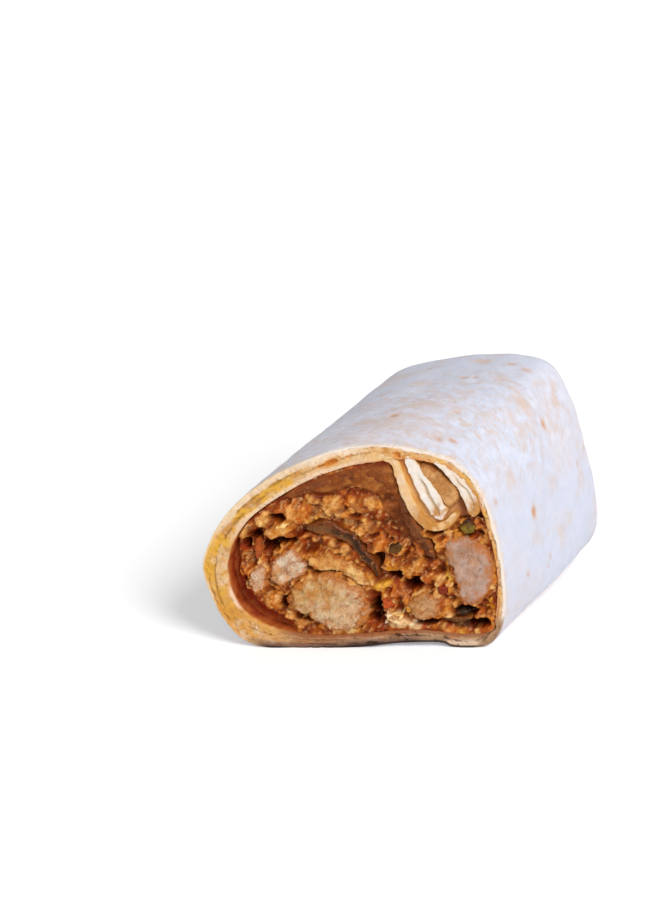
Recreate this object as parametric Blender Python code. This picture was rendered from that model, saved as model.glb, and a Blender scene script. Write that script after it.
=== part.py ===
"""Half of a chicken fajita wrap, cut on a slant and lying on its seam.

The roll lies along +Y, from the slanted cut at the front to the folded end at the back. What shows on
the cut is laid out in millimetres across it: u to the right and v upwards, from the middle of its
bottom edge. Everything on the cut runs back into the roll along +Y.
"""

import bmesh
import bpy
import math
from mathutils import Vector, noise

MM = 0.001

# Driving dimensions, in millimetres and radians
CUT_SLANT = math.radians(28.0)      # turn of the cut away from square across the roll
CUT_LEAN = math.radians(10.0)       # how far the top of the cut leans back
END_AT = 66.0                       # where the folded end begins to close, behind the cut's middle
END_BULGE = 5.6                     # how far the folded end stands beyond that
END_CENTRE = (4.5, 28.5)            # middle of the folded end (x, z)
END_WALL = 6.0                      # folded layers that close the end
SHEET = 1.8                         # one layer of tortilla
PLEAT = 3.1                         # two layers pinched together
CLEAR = 0.35                        # gap between neighbouring pieces
SLIT = 0.55                         # slit between two layers of tortilla at the cut
SLIT_DEPTH = 7.0                    # how deep such a slit runs in from the cut
DENT = 1.1                          # unevenness of the outside
DENT_PITCH = 18.0                   # length over which that unevenness changes
BASE_FADE = 8.0                     # height over which it fades out towards the flat underside
CREASE = 1.5                        # depth of the creases on the folded end
CREASE_WIDTH = 2.2                  # half width of such a crease
TUCK_SLOPES = (-0.62, 0.50)         # slopes of the left and the right crease (rise over run)
TUCK_OVERLAP = 2.0                  # how far each crease runs past the end's middle
ORIGIN = (2.2, 28.25)               # the part's origin (x, y), from the bottom middle of the cut
CUTTER_LEAD = 6.0                   # how far a cutting body stands out of the cut
KNIFE_REACH = 80.0                  # half size of the knife that makes the cut
PIECE_LEAD = 4.0                    # how far a piece's clearance stands out towards its neighbours
FILLING_LEAD = 9.0                  # how far it stands out of the filling, past its highest crag

# Where along the roll its outside is drawn, as shares of its length
STATIONS = (0.0, 0.08, 0.2, 0.34, 0.5, 0.66, 0.8, 0.91, 1.0)
# Dome of the folded end: size of its outline and share of END_BULGE reached there
END_DOME = ((0.975, 0.36), (0.93, 0.62), (0.84, 0.80), (0.66, 0.93), (0.40, 1.0))
# Rounding of a chunk: millimetres behind its front and size there, then shares of its depth and size
CHUNK_FRONT = ((0.0, 0.0), (0.0, 0.5), (0.35, 0.86), (1.3, 1.0))
CHUNK_BACK = ((0.45, 1.0), (0.8, 0.86), (0.97, 0.5), (1.0, 0.0))
CHUNK_PITCH = 2.4                   # length over which a chunk's unevenness changes
# Sizes of the loops that the filling's craggy face is drawn through, about its middle (u, v)
FILLING_LOOPS = (0.0, 0.11, 0.22, 0.33, 0.44, 0.54, 0.64, 0.73, 0.81, 0.88, 0.94, 1.0)
FILLING_CENTRE = (2.0, 24.0)

# Outer outline of the roll, point for point: on the cut (u, v), and at the folded end (x, z)
OUTER_AT_CUT = (
    (-38.6, 20.0), (-37.3, 28.5), (-31.8, 37.6), (-23.2, 45.2), (-13.6, 50.4), (-3.4, 54.0), (6.6, 54.9),
    (16.2, 53.5), (24.9, 50.7), (31.2, 44.0), (35.4, 34.0), (37.9, 23.2), (39.0, 12.0), (37.8, 4.3),
    (34.4, 0.5), (26.5, 0.0), (22.6, 1.9), (12.0, 1.9), (-1.0, 0.0), (-22.6, 0.0), (-32.4, 6.0),
)
OUTER_AT_END = (
    (-31.5, 20.0), (-31.0, 30.0), (-27.0, 40.8), (-19.5, 48.2), (-11.0, 52.8), (-2.0, 56.0), (6.5, 58.6),
    (15.6, 60.4), (24.2, 59.6), (30.2, 52.4), (35.4, 38.6), (38.8, 27.0), (40.6, 17.0), (39.0, 9.4),
    (32.6, 2.6), (24.5, 0.0), (17.0, 0.0), (8.0, 0.0), (-3.0, 0.0), (-17.0, 0.0), (-26.5, 5.5),
)
# Inner wall of the roll on the cut, and how it narrows, rises and shifts by the folded end
INNER_AT_CUT = (
    (-32.6, 20.0), (-31.6, 27.5), (-27.4, 34.6), (-20.5, 40.2), (-12.0, 45.4), (-3.0, 48.9), (5.0, 50.4),
    (13.5, 51.2), (21.5, 49.6), (28.0, 45.2), (32.2, 38.0), (35.0, 28.9), (36.9, 19.5), (36.8, 10.0),
    (35.2, 4.4), (28.0, 3.6), (16.0, 4.7), (2.0, 4.1), (-10.0, 3.7), (-21.0, 5.9), (-28.5, 11.0),
)
INNER_NARROWS = -0.07
INNER_RISES = 0.06
INNER_SHIFTS = 2.5

# The sheet's inner end, folded down into the filling, and its two pinched pleats: centre lines
INNER_FOLD = (
    (0.5, 50.3), (5.4, 51.9), (9.2, 50.8), (11.3, 47.2), (13.1, 41.9), (15.7, 36.6), (19.3, 33.3),
    (23.3, 33.6), (26.0, 36.6),
)
LEFT_PLEAT = ((13.3, 53.0), (14.7, 49.6), (17.2, 45.0), (20.0, 40.6), (22.3, 36.9))
RIGHT_PLEAT = ((20.6, 50.2), (24.4, 47.9), (27.9, 43.8), (30.0, 39.7), (30.8, 36.9))
# Slits at the cut: between the rolled layers in the wall, and up the middle of each pleat
SLITS = (
    ((7.6, 53.4), (-2.6, 51.4), (-12.6, 47.6), (-22.0, 42.0), (-29.6, 35.2), (-34.6, 27.2), (-35.7, 20.0),
     (-33.8, 12.0), (-28.4, 6.4), (-19.0, 2.9), (-8.0, 1.9), (4.0, 2.6)),
    ((12.0, 3.4), (20.0, 3.3), (27.0, 1.9), (33.0, 2.1), (36.6, 6.0)),
    ((17.0, 45.4), (19.6, 41.2), (23.0, 35.6)),
    ((26.7, 45.4), (29.0, 41.6), (31.3, 35.6)),
)
# Where the pocket of the folds ends, right of the inner fold and outside the roll
POCKET_EDGE = ((27.6, 35.0), (31.5, 35.4), (42.0, 36.0), (42.0, 62.0), (-6.0, 62.0), (-2.0, 50.0))

# Crags of the filling where it is cut
LUMP = 5.0                          # size of a lump
LUMP_DEPTH = 3.0                    # how deep the creases between lumps are
GUTTER = (5.2, 6.0)                 # hollow along the left wall: width, depth

ROLL_COLOUR = (0.78, 0.72, 0.70)
FILLING_COLOUR = (0.36, 0.12, 0.03)
CHICKEN_COLOUR = (0.60, 0.40, 0.24)
ONION_COLOUR = (0.22, 0.10, 0.04)
GREEN_COLOUR = (0.17, 0.13, 0.03)
RED_COLOUR = (0.32, 0.05, 0.02)

# Chunks on the cut: name, how far each runs back, how far it stands proud, and its outline (u, v)
CHICKEN = (
    ("chicken_large", 24.0, 1.2, (
        (-16.4, 11.0), (-16.9, 15.2), (-13.4, 18.9), (-7.6, 21.2), (-2.6, 19.6), (2.4, 16.1), (4.2, 11.4),
        (2.6, 6.0), (-2.4, 4.7), (-7.6, 6.0), (-11.4, 9.4))),
    ("chicken_right", 22.0, 0.8, (
        (23.4, 26.6), (25.0, 30.0), (29.4, 30.2), (33.6, 27.4), (35.8, 22.0), (35.4, 16.8), (32.6, 12.4),
        (28.6, 12.0), (26.8, 17.0), (25.4, 22.0))),
    ("chicken_left", 18.0, 0.9, (
        (-21.6, 22.2), (-19.8, 25.8), (-15.6, 26.8), (-12.2, 24.4), (-11.9, 21.0), (-15.0, 19.6),
        (-18.2, 17.4), (-21.2, 18.6))),
    ("chicken_far_left", 14.0, 0.6, (
        (-27.0, 18.0), (-26.2, 21.8), (-23.4, 22.6), (-22.3, 19.8), (-22.9, 16.8), (-25.2, 15.8))),
    ("chicken_low_right", 16.0, 0.7, (
        (14.2, 12.4), (16.0, 14.8), (20.2, 14.8), (22.6, 12.2), (21.6, 8.6), (18.0, 7.8), (15.0, 9.4))),
    ("chicken_strip", 20.0, 1.0, (
        (-11.6, 24.8), (-8.0, 26.3), (-2.8, 25.2), (1.8, 21.6), (4.4, 17.8), (2.8, 17.6), (-1.4, 20.9),
        (-6.4, 22.7), (-10.4, 22.6))),
    ("chicken_in_fold", 18.0, -0.6, (
        (16.9, 48.4), (19.2, 49.4), (23.4, 45.4), (25.6, 42.2), (25.2, 39.4), (23.6, 39.2), (21.6, 42.0),
        (19.2, 45.2))),
)
PEPPER = (
    ("green_pepper_top", 9.0, 0.9, (
        (27.0, 33.2), (28.4, 34.9), (31.0, 33.0), (30.6, 31.2), (28.4, 31.0))),
    ("green_pepper_middle", 8.0, 0.6, (
        (8.6, 26.2), (9.4, 28.4), (12.4, 28.6), (12.2, 26.4), (10.4, 25.6))),
    ("green_pepper_low", 9.0, 0.4, (
        (25.8, 9.7), (27.8, 10.6), (30.0, 9.9), (29.0, 8.9))),
    ("red_pepper_middle", 8.0, 0.9, (
        (7.3, 13.6), (9.8, 14.2), (10.6, 11.6), (8.2, 10.6))),
    ("red_pepper_right", 8.0, 0.7, (
        (21.4, 17.0), (24.2, 17.0), (24.5, 14.8), (22.2, 14.6))),
)
# Onion strips: name, how far each runs back, how far it stands proud, its width and its middle line
ONION = (
    ("onion_top", 26.0, 0.2, 2.9, ((-17.6, 40.9), (-10.4, 44.6), (-2.6, 46.9), (4.4, 47.4), (8.2, 44.2))),
    ("onion_middle", 24.0, 0.7, 2.7, ((-12.6, 31.9), (-6.4, 31.3), (-0.8, 28.6), (3.0, 24.4), (6.4, 19.6))),
    ("onion_right", 24.0, 0.4, 2.6, ((11.5, 42.0), (13.2, 36.6), (16.2, 30.6), (20.6, 24.6))),
    ("onion_left", 12.0, 0.3, 1.8, ((-25.3, 29.6), (-25.0, 26.6), (-25.4, 23.9))),
    ("onion_low_right", 12.0, 0.3, 1.6, ((23.2, 8.0), (26.6, 7.0), (30.2, 7.4))),
)


def section(u, v):
    """Place on the roll's own cross-section (x, z) of a point on the slanted cut."""
    x = u * math.cos(CUT_SLANT) - v * math.sin(CUT_LEAN) * math.sin(CUT_SLANT)
    return x, v * math.cos(CUT_LEAN)


def cut_y(x, z):
    """Where the slanted cut lies along the roll."""
    return x * math.tan(CUT_SLANT) + z * math.tan(CUT_LEAN) / math.cos(CUT_SLANT)


def behind_cut(u, v, back):
    """The point straight behind (u, v) on the cut."""
    x, z = section(u, v)
    return x, cut_y(x, z) + back, z


def towards_end(u, v, share, end):
    """The point a share of the way from (u, v) on the cut to the inside's end, as the roll narrows."""
    x, z = section(u, v)
    y = cut_y(x, z) * (1 - share) + end * share
    return x * (1 + INNER_NARROWS * share) + INNER_SHIFTS * share, y, z * (1 + INNER_RISES * share)


def spline(points, steps, closed=True):
    """Points on a smooth curve through the given ones, so many to a span."""
    count = len(points)
    result = []
    for i in range(count if closed else count - 1):
        places = [i + k for k in (-1, 0, 1, 2)]
        places = [k % count if closed else min(max(k, 0), count - 1) for k in places]
        a, b, c, d = (Vector(points[k]) for k in places)
        for j in range(steps):
            t = j / steps
            bend = (2 * a - 5 * b + 4 * c - d) * t ** 2 + (3 * b - a - 3 * c + d) * t ** 3
            result.append(0.5 * (2 * b + (c - a) * t + bend))
    if not closed:
        result.append(Vector(points[-1]))
    return result


def grown(loop, amount):
    """A closed loop moved outwards by so much, or inwards if that is below zero."""
    area = sum(a.x * b.y - b.x * a.y for a, b in zip(loop, loop[1:] + loop[:1]))
    side = math.copysign(1.0, area)
    result = []
    for i, point in enumerate(loop):
        along = loop[(i + 1) % len(loop)] - loop[i - 1]
        result.append(point + Vector((along.y, -along.x)).normalized() * side * amount)
    return result


def edges_of(path, width, steps):
    """The two edges of a strip that follows a path."""
    line = spline(path, steps, closed=False)
    left, right = [], []
    for i, point in enumerate(line):
        along = (line[min(i + 1, len(line) - 1)] - line[max(i - 1, 0)]).normalized()
        across = Vector((-along.y, along.x)) * width / 2
        left.append(point + across)
        right.append(point - across)
    return left, right


def band(path, width, steps):
    """Closed outline of a strip that follows a path."""
    left, right = edges_of(path, width, steps)
    return left + right[::-1]


def solid(name, rings):
    """A closed mesh through rings of equal count; a ring of one point closes it to a tip."""
    bm = bmesh.new()
    rows = [[bm.verts.new([c * MM for c in point]) for point in ring] for ring in rings]
    for one, two in zip(rows, rows[1:]):
        count = max(len(one), len(two))
        for i in range(count):
            j = (i + 1) % count
            if len(one) == 1:
                bm.faces.new((one[0], two[j], two[i]))
            elif len(two) == 1:
                bm.faces.new((one[i], one[j], two[0]))
            else:
                bm.faces.new((one[i], one[j], two[j], two[i]))
    for row in (rows[0], rows[-1]):
        if len(row) > 1:
            bm.faces.new(row)
    bmesh.ops.triangulate(bm, faces=bm.faces)
    bmesh.ops.recalc_face_normals(bm, faces=bm.faces)
    return link(name, bm)


def link(name, bm):
    """A new object from a bmesh."""
    mesh = bpy.data.meshes.new(name)
    bm.to_mesh(mesh)
    bm.free()
    thing = bpy.data.objects.new(name, mesh)
    bpy.context.scene.collection.objects.link(thing)
    return thing


def combine(thing, other, operation):
    """Join another object to this one, cut it out or keep what they share, and remove the other."""
    modifier = thing.modifiers.new("combine", "BOOLEAN")
    modifier.object = other
    modifier.operation = operation
    modifier.solver = "EXACT"
    bpy.context.view_layer.update()
    result = bpy.data.meshes.new_from_object(thing.evaluated_get(bpy.context.evaluated_depsgraph_get()))
    thing.modifiers.clear()
    thing.data = result
    bpy.data.objects.remove(other)


def islands(bm):
    """The separate bodies of a mesh, as lists of points, the largest first."""
    left = set(bm.verts)
    found = []
    while left:
        stack = [left.pop()]
        group = list(stack)
        while stack:
            for edge in stack.pop().link_edges:
                for vert in left.intersection(edge.verts):
                    left.remove(vert)
                    group.append(vert)
                    stack.append(vert)
        found.append(group)
    return sorted(found, key=len, reverse=True)


def tidy(thing):
    """Weld hairline edges and drop loose scraps that cutting leaves."""
    bm = bmesh.new()
    bm.from_mesh(thing.data)
    bmesh.ops.remove_doubles(bm, verts=bm.verts, dist=0.004 * MM)
    bmesh.ops.dissolve_degenerate(bm, edges=bm.edges, dist=0.002 * MM)
    bmesh.ops.triangulate(bm, faces=bm.faces)
    scraps = [vert for group in islands(bm)[1:] for vert in group]
    bmesh.ops.delete(bm, geom=scraps, context="VERTS")
    bm.to_mesh(thing.data)
    bm.free()


def inside(name, loop, end, lead=0.0):
    """A body that runs through the roll's inside, behind a closed loop on the cut."""
    rings = [[towards_end(u, v, share, end) for u, v in loop] for share in (0.5, 1.0)]
    front = [towards_end(u, v, -lead / (end - behind_cut(u, v, 0.0)[1]), end) for u, v in loop]
    return solid(name, [front] + rings)


def inner_folds(growth, lead):
    """The inner fold and the two pleats, as separate bodies, grown by so much."""
    end = END_AT - END_WALL + 1.0
    widths = ((INNER_FOLD, SHEET), (LEFT_PLEAT, PLEAT), (RIGHT_PLEAT, PLEAT))
    return [inside("fold", band(path, width + 2 * growth, 2), end, lead) for path, width in widths]


def crease(x, z):
    """Depth of the folded end's creases: two side tucks that meet under one flap."""
    across = x - END_CENTRE[0]
    rise = z - END_CENTRE[1]
    left_tuck, right_tuck = (math.exp(-((rise - slope * across) / CREASE_WIDTH) ** 2) for slope in TUCK_SLOPES)
    if across > TUCK_OVERLAP:
        left_tuck = 0.0
    if across < -TUCK_OVERLAP:
        right_tuck = 0.0
    return CREASE * max(left_tuck, right_tuck)


def roll_outside():
    """The whole outside of the roll, from the cut to the folded end."""
    on_cut = [Vector(section(*point)) for point in spline(OUTER_AT_CUT, 3)]
    at_end = spline(OUTER_AT_END, 3)
    rings = []
    for share in STATIONS:
        ring = []
        for near, far in zip(on_cut, at_end):
            point = near.lerp(far, share)
            y = cut_y(*near) * (1 - share) + END_AT * share
            swell = noise.noise(Vector((point.x, y, point.y)) / DENT_PITCH) * math.sin(math.pi * share)
            above_base = min(1.0, max(point.y, 0.0) / BASE_FADE)
            point += (point - Vector(END_CENTRE)).normalized() * DENT * swell * above_base
            ring.append((point.x, y, max(point.y, 0.0)))
        rings.append(ring)
    rings.insert(0, [(x, y - CUTTER_LEAD, z) for x, y, z in rings[0]])
    centre = Vector(END_CENTRE)
    for size, out in END_DOME:
        ring = []
        for far in at_end:
            point = centre.lerp(far, size)
            sunk = crease(*point) * min(1.0, 3 * out - 1)
            ring.append((point.x, END_AT + END_BULGE * out - sunk, max(point.y, 0.0)))
        rings.append(ring)
    rings.append([(centre.x, END_AT + END_BULGE - CREASE, centre.y)])
    return solid("tortilla", rings)


def knife():
    """A block ahead of the slanted cut, which cuts the roll through."""
    corners = [(u * KNIFE_REACH, v * KNIFE_REACH) for u, v in ((-1, -1), (1, -1), (1, 1), (-1, 1))]
    return solid("knife", [[behind_cut(u, v, back) for u, v in corners] for back in (-3 * CUTTER_LEAD, 0.0)])


def make_tortilla():
    """The rolled sheet: its wall, the folds of its inner end and its layers at the cut."""
    tortilla = roll_outside()
    hollow = inside("hollow", spline(INNER_AT_CUT, 3), END_AT - END_WALL, 2 * CUTTER_LEAD)
    combine(tortilla, hollow, "DIFFERENCE")
    for fold in inner_folds(0.0, CUTTER_LEAD / 2):
        combine(tortilla, fold, "UNION")
    combine(tortilla, knife(), "DIFFERENCE")
    for path in SLITS:
        outline = band(path, SLIT, 2)
        rings = [[behind_cut(u, v, back) for u, v in outline] for back in (-CUTTER_LEAD, SLIT_DEPTH)]
        combine(tortilla, solid("slit", rings), "DIFFERENCE")
    tidy(tortilla)
    return tortilla


def chunk(name, outline, depth, proud, crag):
    """A piece of the filling, cut flat but uneven at the front and rounded off at the back."""
    centre = sum(outline, Vector((0.0, 0.0))) / len(outline)
    front = [(back - proud, size, crag) for back, size in CHUNK_FRONT]
    rear = [(share * depth, size, 0.0) for share, size in CHUNK_BACK]
    rings = []
    for back, size, uneven in front + rear:
        ring = []
        for point in outline if size else [centre]:
            u, v = centre.lerp(point, size)
            ring.append(behind_cut(u, v, back + uneven * noise.noise(Vector((u, v, back)) / CHUNK_PITCH)))
        rings.append(ring)
    return solid(name, rings)


def clearance(thing, lead):
    """A piece's shape grown by the clearance and drawn forwards, which cuts its place in another."""
    bm = bmesh.new()
    bm.from_mesh(thing.data)
    bm.normal_update()
    moved = []
    for vert in bm.verts:
        x, y, z = vert.co / MM
        forward = lead if y < cut_y(x, z) + 0.25 else 0.0
        moved.append(vert.co + vert.normal * CLEAR * MM - Vector((0.0, forward * MM, 0.0)))
    for vert, place in zip(bm.verts, moved):
        vert.co = place
    return link("clearance", bm)


def close_by(one, two):
    """Whether the boxes of two pieces come within a millimetre of each other."""
    for axis in range(3):
        a = [vert.co[axis] for vert in one.data.vertices]
        b = [vert.co[axis] for vert in two.data.vertices]
        if min(a) > max(b) + MM or min(b) > max(a) + MM:
            return False
    return True


def cut_where_close(thing, cutter):
    """Cut one body out of another if they come close, and remove it either way."""
    if close_by(thing, cutter):
        combine(thing, cutter, "DIFFERENCE")
    else:
        bpy.data.objects.remove(cutter)


def make_pieces():
    """Every separate piece on the cut, the larger first, as a later one gives way to an earlier."""
    drawn = [(name, spline(outline, 2), depth, proud, 0.8, CHICKEN_COLOUR)
             for name, depth, proud, outline in CHICKEN]
    drawn += [(name, spline(outline, 2), depth, proud, 0.3, GREEN_COLOUR if "green" in name else RED_COLOUR)
              for name, depth, proud, outline in PEPPER]
    drawn += [(name, band(path, width, 2), depth, proud, 0.3, ONION_COLOUR)
              for name, depth, proud, width, path in ONION]
    room = grown(spline(INNER_AT_CUT, 3), -CLEAR)
    pieces = []
    for name, outline, depth, proud, crag, colour in drawn:
        piece = chunk(name, outline, depth, proud, crag)
        combine(piece, inside("room", room, END_AT - END_WALL, CUTTER_LEAD), "INTERSECT")
        for fold in inner_folds(CLEAR, CUTTER_LEAD):
            cut_where_close(piece, fold)
        for other, _ in pieces:
            cut_where_close(piece, clearance(other, PIECE_LEAD))
        tidy(piece)
        pieces.append((piece, colour))
    return pieces


def sunk(u, v):
    """How far the craggy filling lies behind the cut at (u, v)."""
    lump = noise.voronoi(Vector((u, v, 3.0)) / LUMP)[0][0]
    fine = noise.noise(Vector((u, v, 9.0)) * 0.5)
    wall = INNER_AT_CUT[0][0] + GUTTER[0] * ((v - 20.5) / 13.6) ** 2
    from_wall = max(u - wall, 0.0) / GUTTER[0]
    gutter = GUTTER[1] * max(0.0, 1.0 - from_wall ** 2) if v > 6.0 else 0.0
    return 0.5 + LUMP_DEPTH * lump ** 1.5 + 0.6 * fine + gutter


def make_filling(pieces):
    """The mixed filling: a core that runs through the roll, craggy where it is cut."""
    outline = grown(spline(INNER_AT_CUT, 3), -CLEAR)
    centre = Vector(FILLING_CENTRE)
    end = END_AT - END_WALL - CLEAR
    rings = []
    for size in FILLING_LOOPS:
        ring = []
        for point in outline if size else [centre]:
            u, v = centre.lerp(point, size)
            share = sunk(u, v) / (end - behind_cut(u, v, 0.0)[1])
            ring.append(towards_end(u, v, share, end))
        rings.append(ring)
    rings.append([towards_end(u, v, 0.5, end) for u, v in outline])
    rings.append([towards_end(u, v, 1.0, end) for u, v in outline])
    filling = solid("filling", rings)
    _, edge = edges_of(INNER_FOLD, SHEET + 2 * CLEAR, 2)
    pocket = edge + [Vector(point) for point in POCKET_EDGE]
    combine(filling, inside("pocket", pocket, END_AT, CUTTER_LEAD), "DIFFERENCE")
    for piece, _ in pieces:
        combine(filling, clearance(piece, FILLING_LEAD), "DIFFERENCE")
    tidy(filling)
    return filling


def finish(thing, colour, roughness):
    """Move a piece to the part's origin, shade it and give it its material."""
    for vert in thing.data.vertices:
        vert.co.x -= ORIGIN[0] * MM
        vert.co.y -= ORIGIN[1] * MM
    material = bpy.data.materials.new(thing.name)
    material.use_nodes = True
    shader = material.node_tree.nodes["Principled BSDF"]
    shader.inputs["Base Color"].default_value = (*colour, 1.0)
    shader.inputs["Roughness"].default_value = roughness
    shader.inputs["Metallic"].default_value = 0.0
    thing.data.materials.clear()
    thing.data.materials.append(material)
    thing.data.shade_smooth()
    thing.data.set_sharp_from_angle(angle=math.radians(35.0))


def main():
    for thing in list(bpy.data.objects):
        bpy.data.objects.remove(thing)
    tortilla = make_tortilla()
    pieces = make_pieces()
    filling = make_filling(pieces)
    finish(tortilla, ROLL_COLOUR, 0.8)
    finish(filling, FILLING_COLOUR, 0.5)
    for piece, colour in pieces:
        finish(piece, colour, 0.45)


main()
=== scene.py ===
"""Half of a chicken fajita wrap, dressed for its photo: the flour tortilla's skin, its layers at the cut and
the moist filling, on a plain pale floor."""

import itertools
import math

import bpy
import numpy as np
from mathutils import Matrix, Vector, noise


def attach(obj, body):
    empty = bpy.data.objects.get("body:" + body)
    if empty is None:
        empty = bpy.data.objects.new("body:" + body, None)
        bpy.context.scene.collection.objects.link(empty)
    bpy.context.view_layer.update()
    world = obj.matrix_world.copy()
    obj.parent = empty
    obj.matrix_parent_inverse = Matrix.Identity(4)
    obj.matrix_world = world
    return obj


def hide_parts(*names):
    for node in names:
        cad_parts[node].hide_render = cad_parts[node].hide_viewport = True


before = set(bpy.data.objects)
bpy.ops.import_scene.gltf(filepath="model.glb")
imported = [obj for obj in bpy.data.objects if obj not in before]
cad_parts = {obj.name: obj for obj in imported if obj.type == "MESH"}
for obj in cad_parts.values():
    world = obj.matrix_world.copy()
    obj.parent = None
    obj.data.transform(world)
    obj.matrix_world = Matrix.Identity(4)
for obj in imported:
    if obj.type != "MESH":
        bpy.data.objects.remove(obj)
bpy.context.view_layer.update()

MM = 0.001
RNG = np.random.default_rng(7)

# The roll's own sizes, in millimetres, as its solids have them
CUT_SLANT = math.radians(28.0)
CUT_LEAN = math.radians(10.0)
END_AT = 66.0
END_BULGE = 5.6
END_CENTRE = (4.5, 28.5)
END_WALL = 6.0
DENT = 1.1
DENT_PITCH = 18.0
BASE_FADE = 8.0
CREASE = 1.5
CREASE_WIDTH = 2.2
TUCK_SLOPES = (-0.62, 0.50)
TUCK_OVERLAP = 2.0
ORIGIN = (2.2, 28.25)
# The folded end: how far each ring bulges and its size, both as shares
END_DOME = ((0.0, 1.0), (0.36, 0.975), (0.62, 0.93), (0.80, 0.84), (0.93, 0.66), (1.0, 0.40), (1.0, 0.0))
# How the hollow changes towards the folded end: its width, its height and its middle
INNER_NARROWS = -0.07
INNER_RISES = 0.06
INNER_SHIFTS = 2.5
# Between the left wall and the filling: how wide the gutter is at each height, and how deep
GUTTER_WIDTHS = ((4.0, 2.4), (8.0, 4.2), (14.0, 4.4), (20.0, 3.6), (25.0, 2.8), (29.0, 1.2), (31.0, 0.0))
GUTTER_DEPTH = 2.4

# Outlines of the wall on the cut, as places (u, v), and of its outside at the folded end, as (x, z)
OUTER_AT_CUT = (
    (-38.6, 20.0), (-37.3, 28.5), (-31.8, 37.6), (-23.2, 45.2), (-13.6, 50.4), (-3.4, 54.0), (6.6, 54.9),
    (16.2, 53.5), (24.9, 50.7), (31.2, 44.0), (35.4, 34.0), (37.9, 23.2), (39.0, 12.0), (37.8, 4.3),
    (34.4, 0.5), (26.5, 0.0), (22.0, 1.4), (12.0, 1.2), (-1.0, 0.0), (-22.6, 0.0), (-32.4, 6.0),
)
OUTER_AT_END = (
    (-31.5, 20.0), (-31.0, 30.0), (-27.0, 40.8), (-19.5, 48.2), (-11.0, 52.8), (-2.0, 56.0), (6.5, 58.6),
    (15.6, 60.4), (24.2, 59.6), (30.2, 52.4), (35.4, 38.6), (38.8, 27.0), (40.6, 17.0), (39.0, 9.4),
    (32.6, 2.6), (24.5, 0.0), (17.0, 0.0), (8.0, 0.0), (-3.0, 0.0), (-17.0, 0.0), (-26.5, 5.5),
)
INNER_AT_CUT = (
    (-32.6, 20.0), (-31.6, 27.5), (-27.4, 34.6), (-20.5, 40.2), (-12.0, 45.4), (-3.0, 48.9), (5.0, 50.4),
    (13.5, 51.2), (21.5, 49.6), (28.0, 45.2), (32.2, 38.0), (35.0, 28.9), (36.9, 19.5), (36.8, 10.0),
    (35.2, 4.4), (28.0, 3.6), (16.0, 4.7), (2.0, 3.7), (-10.0, 3.4), (-21.6, 5.6), (-29.4, 11.2),
)
# Middle lines of the folded layers on the cut
INNER_FOLD = (
    (0.5, 50.3), (5.4, 51.9), (9.2, 50.8), (11.3, 47.2), (13.1, 41.9), (15.7, 36.6), (19.3, 33.3),
    (23.3, 33.6), (26.0, 36.6),
)
LEFT_PLEAT = ((13.3, 52.0), (14.4, 49.4), (17.0, 45.2), (19.5, 40.8), (21.4, 37.2), (22.3, 35.0))
RIGHT_PLEAT = ((20.2, 50.8), (24.0, 47.7), (27.6, 43.9), (29.8, 39.6), (30.6, 35.9))
# Widths of the folds' cut faces along their length: share of the length and width
FOLD_WIDTHS = ((0.0, 1.8), (0.3, 2.0), (0.5, 2.6), (0.7, 2.6), (1.0, 2.0))
LEFT_PLEAT_WIDTHS = ((0.0, 2.4), (0.3, 3.4), (0.6, 4.4), (0.85, 4.4), (1.0, 3.0))
RIGHT_PLEAT_WIDTHS = ((0.0, 1.2), (0.25, 2.0), (0.55, 3.2), (0.85, 3.6), (1.0, 2.8))
# The rest of the loop round the pocket that the inner fold bounds
POCKET_EDGE = ((27.6, 35.0), (31.5, 35.4), (42.0, 36.0), (42.0, 62.0), (-6.0, 62.0), (-2.0, 50.0))

# Grooves between the rolled layers on the cut: middle line, half width, depth, and the strength and colour of
# its mark: a stain in the orange and yellow ones, painted shade in the slit in the darker ones
GROOVES = (
    (((8.6, 53.0), (3.6, 52.9), (-2.6, 51.4), (-12.6, 47.6), (-22.0, 42.0), (-29.6, 35.2), (-34.6, 27.2),
      (-35.7, 20.0), (-33.8, 12.0), (-28.4, 6.4), (-19.0, 2.9), (-8.0, 1.9), (4.0, 2.6)),
     0.20, 0.4, 0.42, (160, 116, 50)),
    (((11.0, 52.4), (5.6, 53.2), (0.6, 52.6), (-5.0, 50.8), (-10.0, 48.8)), 0.55, 0.9, 0.85, (208, 124, 34)),
    (((11.0, 3.2), (20.0, 3.2), (27.0, 1.8), (33.0, 2.0), (36.6, 6.0)), 0.40, 1.3, 0.85, (84, 46, 24)),
    (((30.4, 46.4), (34.0, 36.6), (36.4, 26.0), (37.7, 15.0), (36.9, 7.0)), 0.2, 0.3, 0.35, (206, 146, 80)),
    (((-33.4, 33.2), (-27.0, 39.8), (-19.4, 45.2), (-13.4, 48.4)), 0.22, 0.4, 0.55, (150, 110, 40)),
    (((-36.9, 24.6), (-37.1, 18.4), (-35.0, 11.6), (-30.4, 6.0)), 0.2, 0.5, 0.4, (196, 130, 40)),
    (((-17.0, 1.2), (-6.0, 0.9), (6.0, 1.5), (14.0, 2.6)), 0.2, 0.7, 0.6, (124, 80, 56)),
)

# Colours, as they look (red, green, blue out of 255)
SKIN = (198, 201, 215)
SKIN_WARM = (207, 199, 203)
SKIN_PALE = (215, 217, 230)
TOAST = (203, 181, 169)
BROWN_SPOT = (196, 150, 118)
WHITE_EDGE = (223, 213, 203)
CREAM = (214, 172, 118)
BREAD = (226, 204, 182)
YELLOW = (216, 162, 46)
OCHRE = (184, 122, 44)
ORANGE = (205, 112, 34)
SAUCE = (184, 104, 46)
SAUCE_RED = (122, 27, 10)
# Sauce as it looks in shade: painted shade in the filling's gaps and deep places and on the wall's inside
SAUCE_IN_SHADE = (62, 20, 6)
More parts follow.
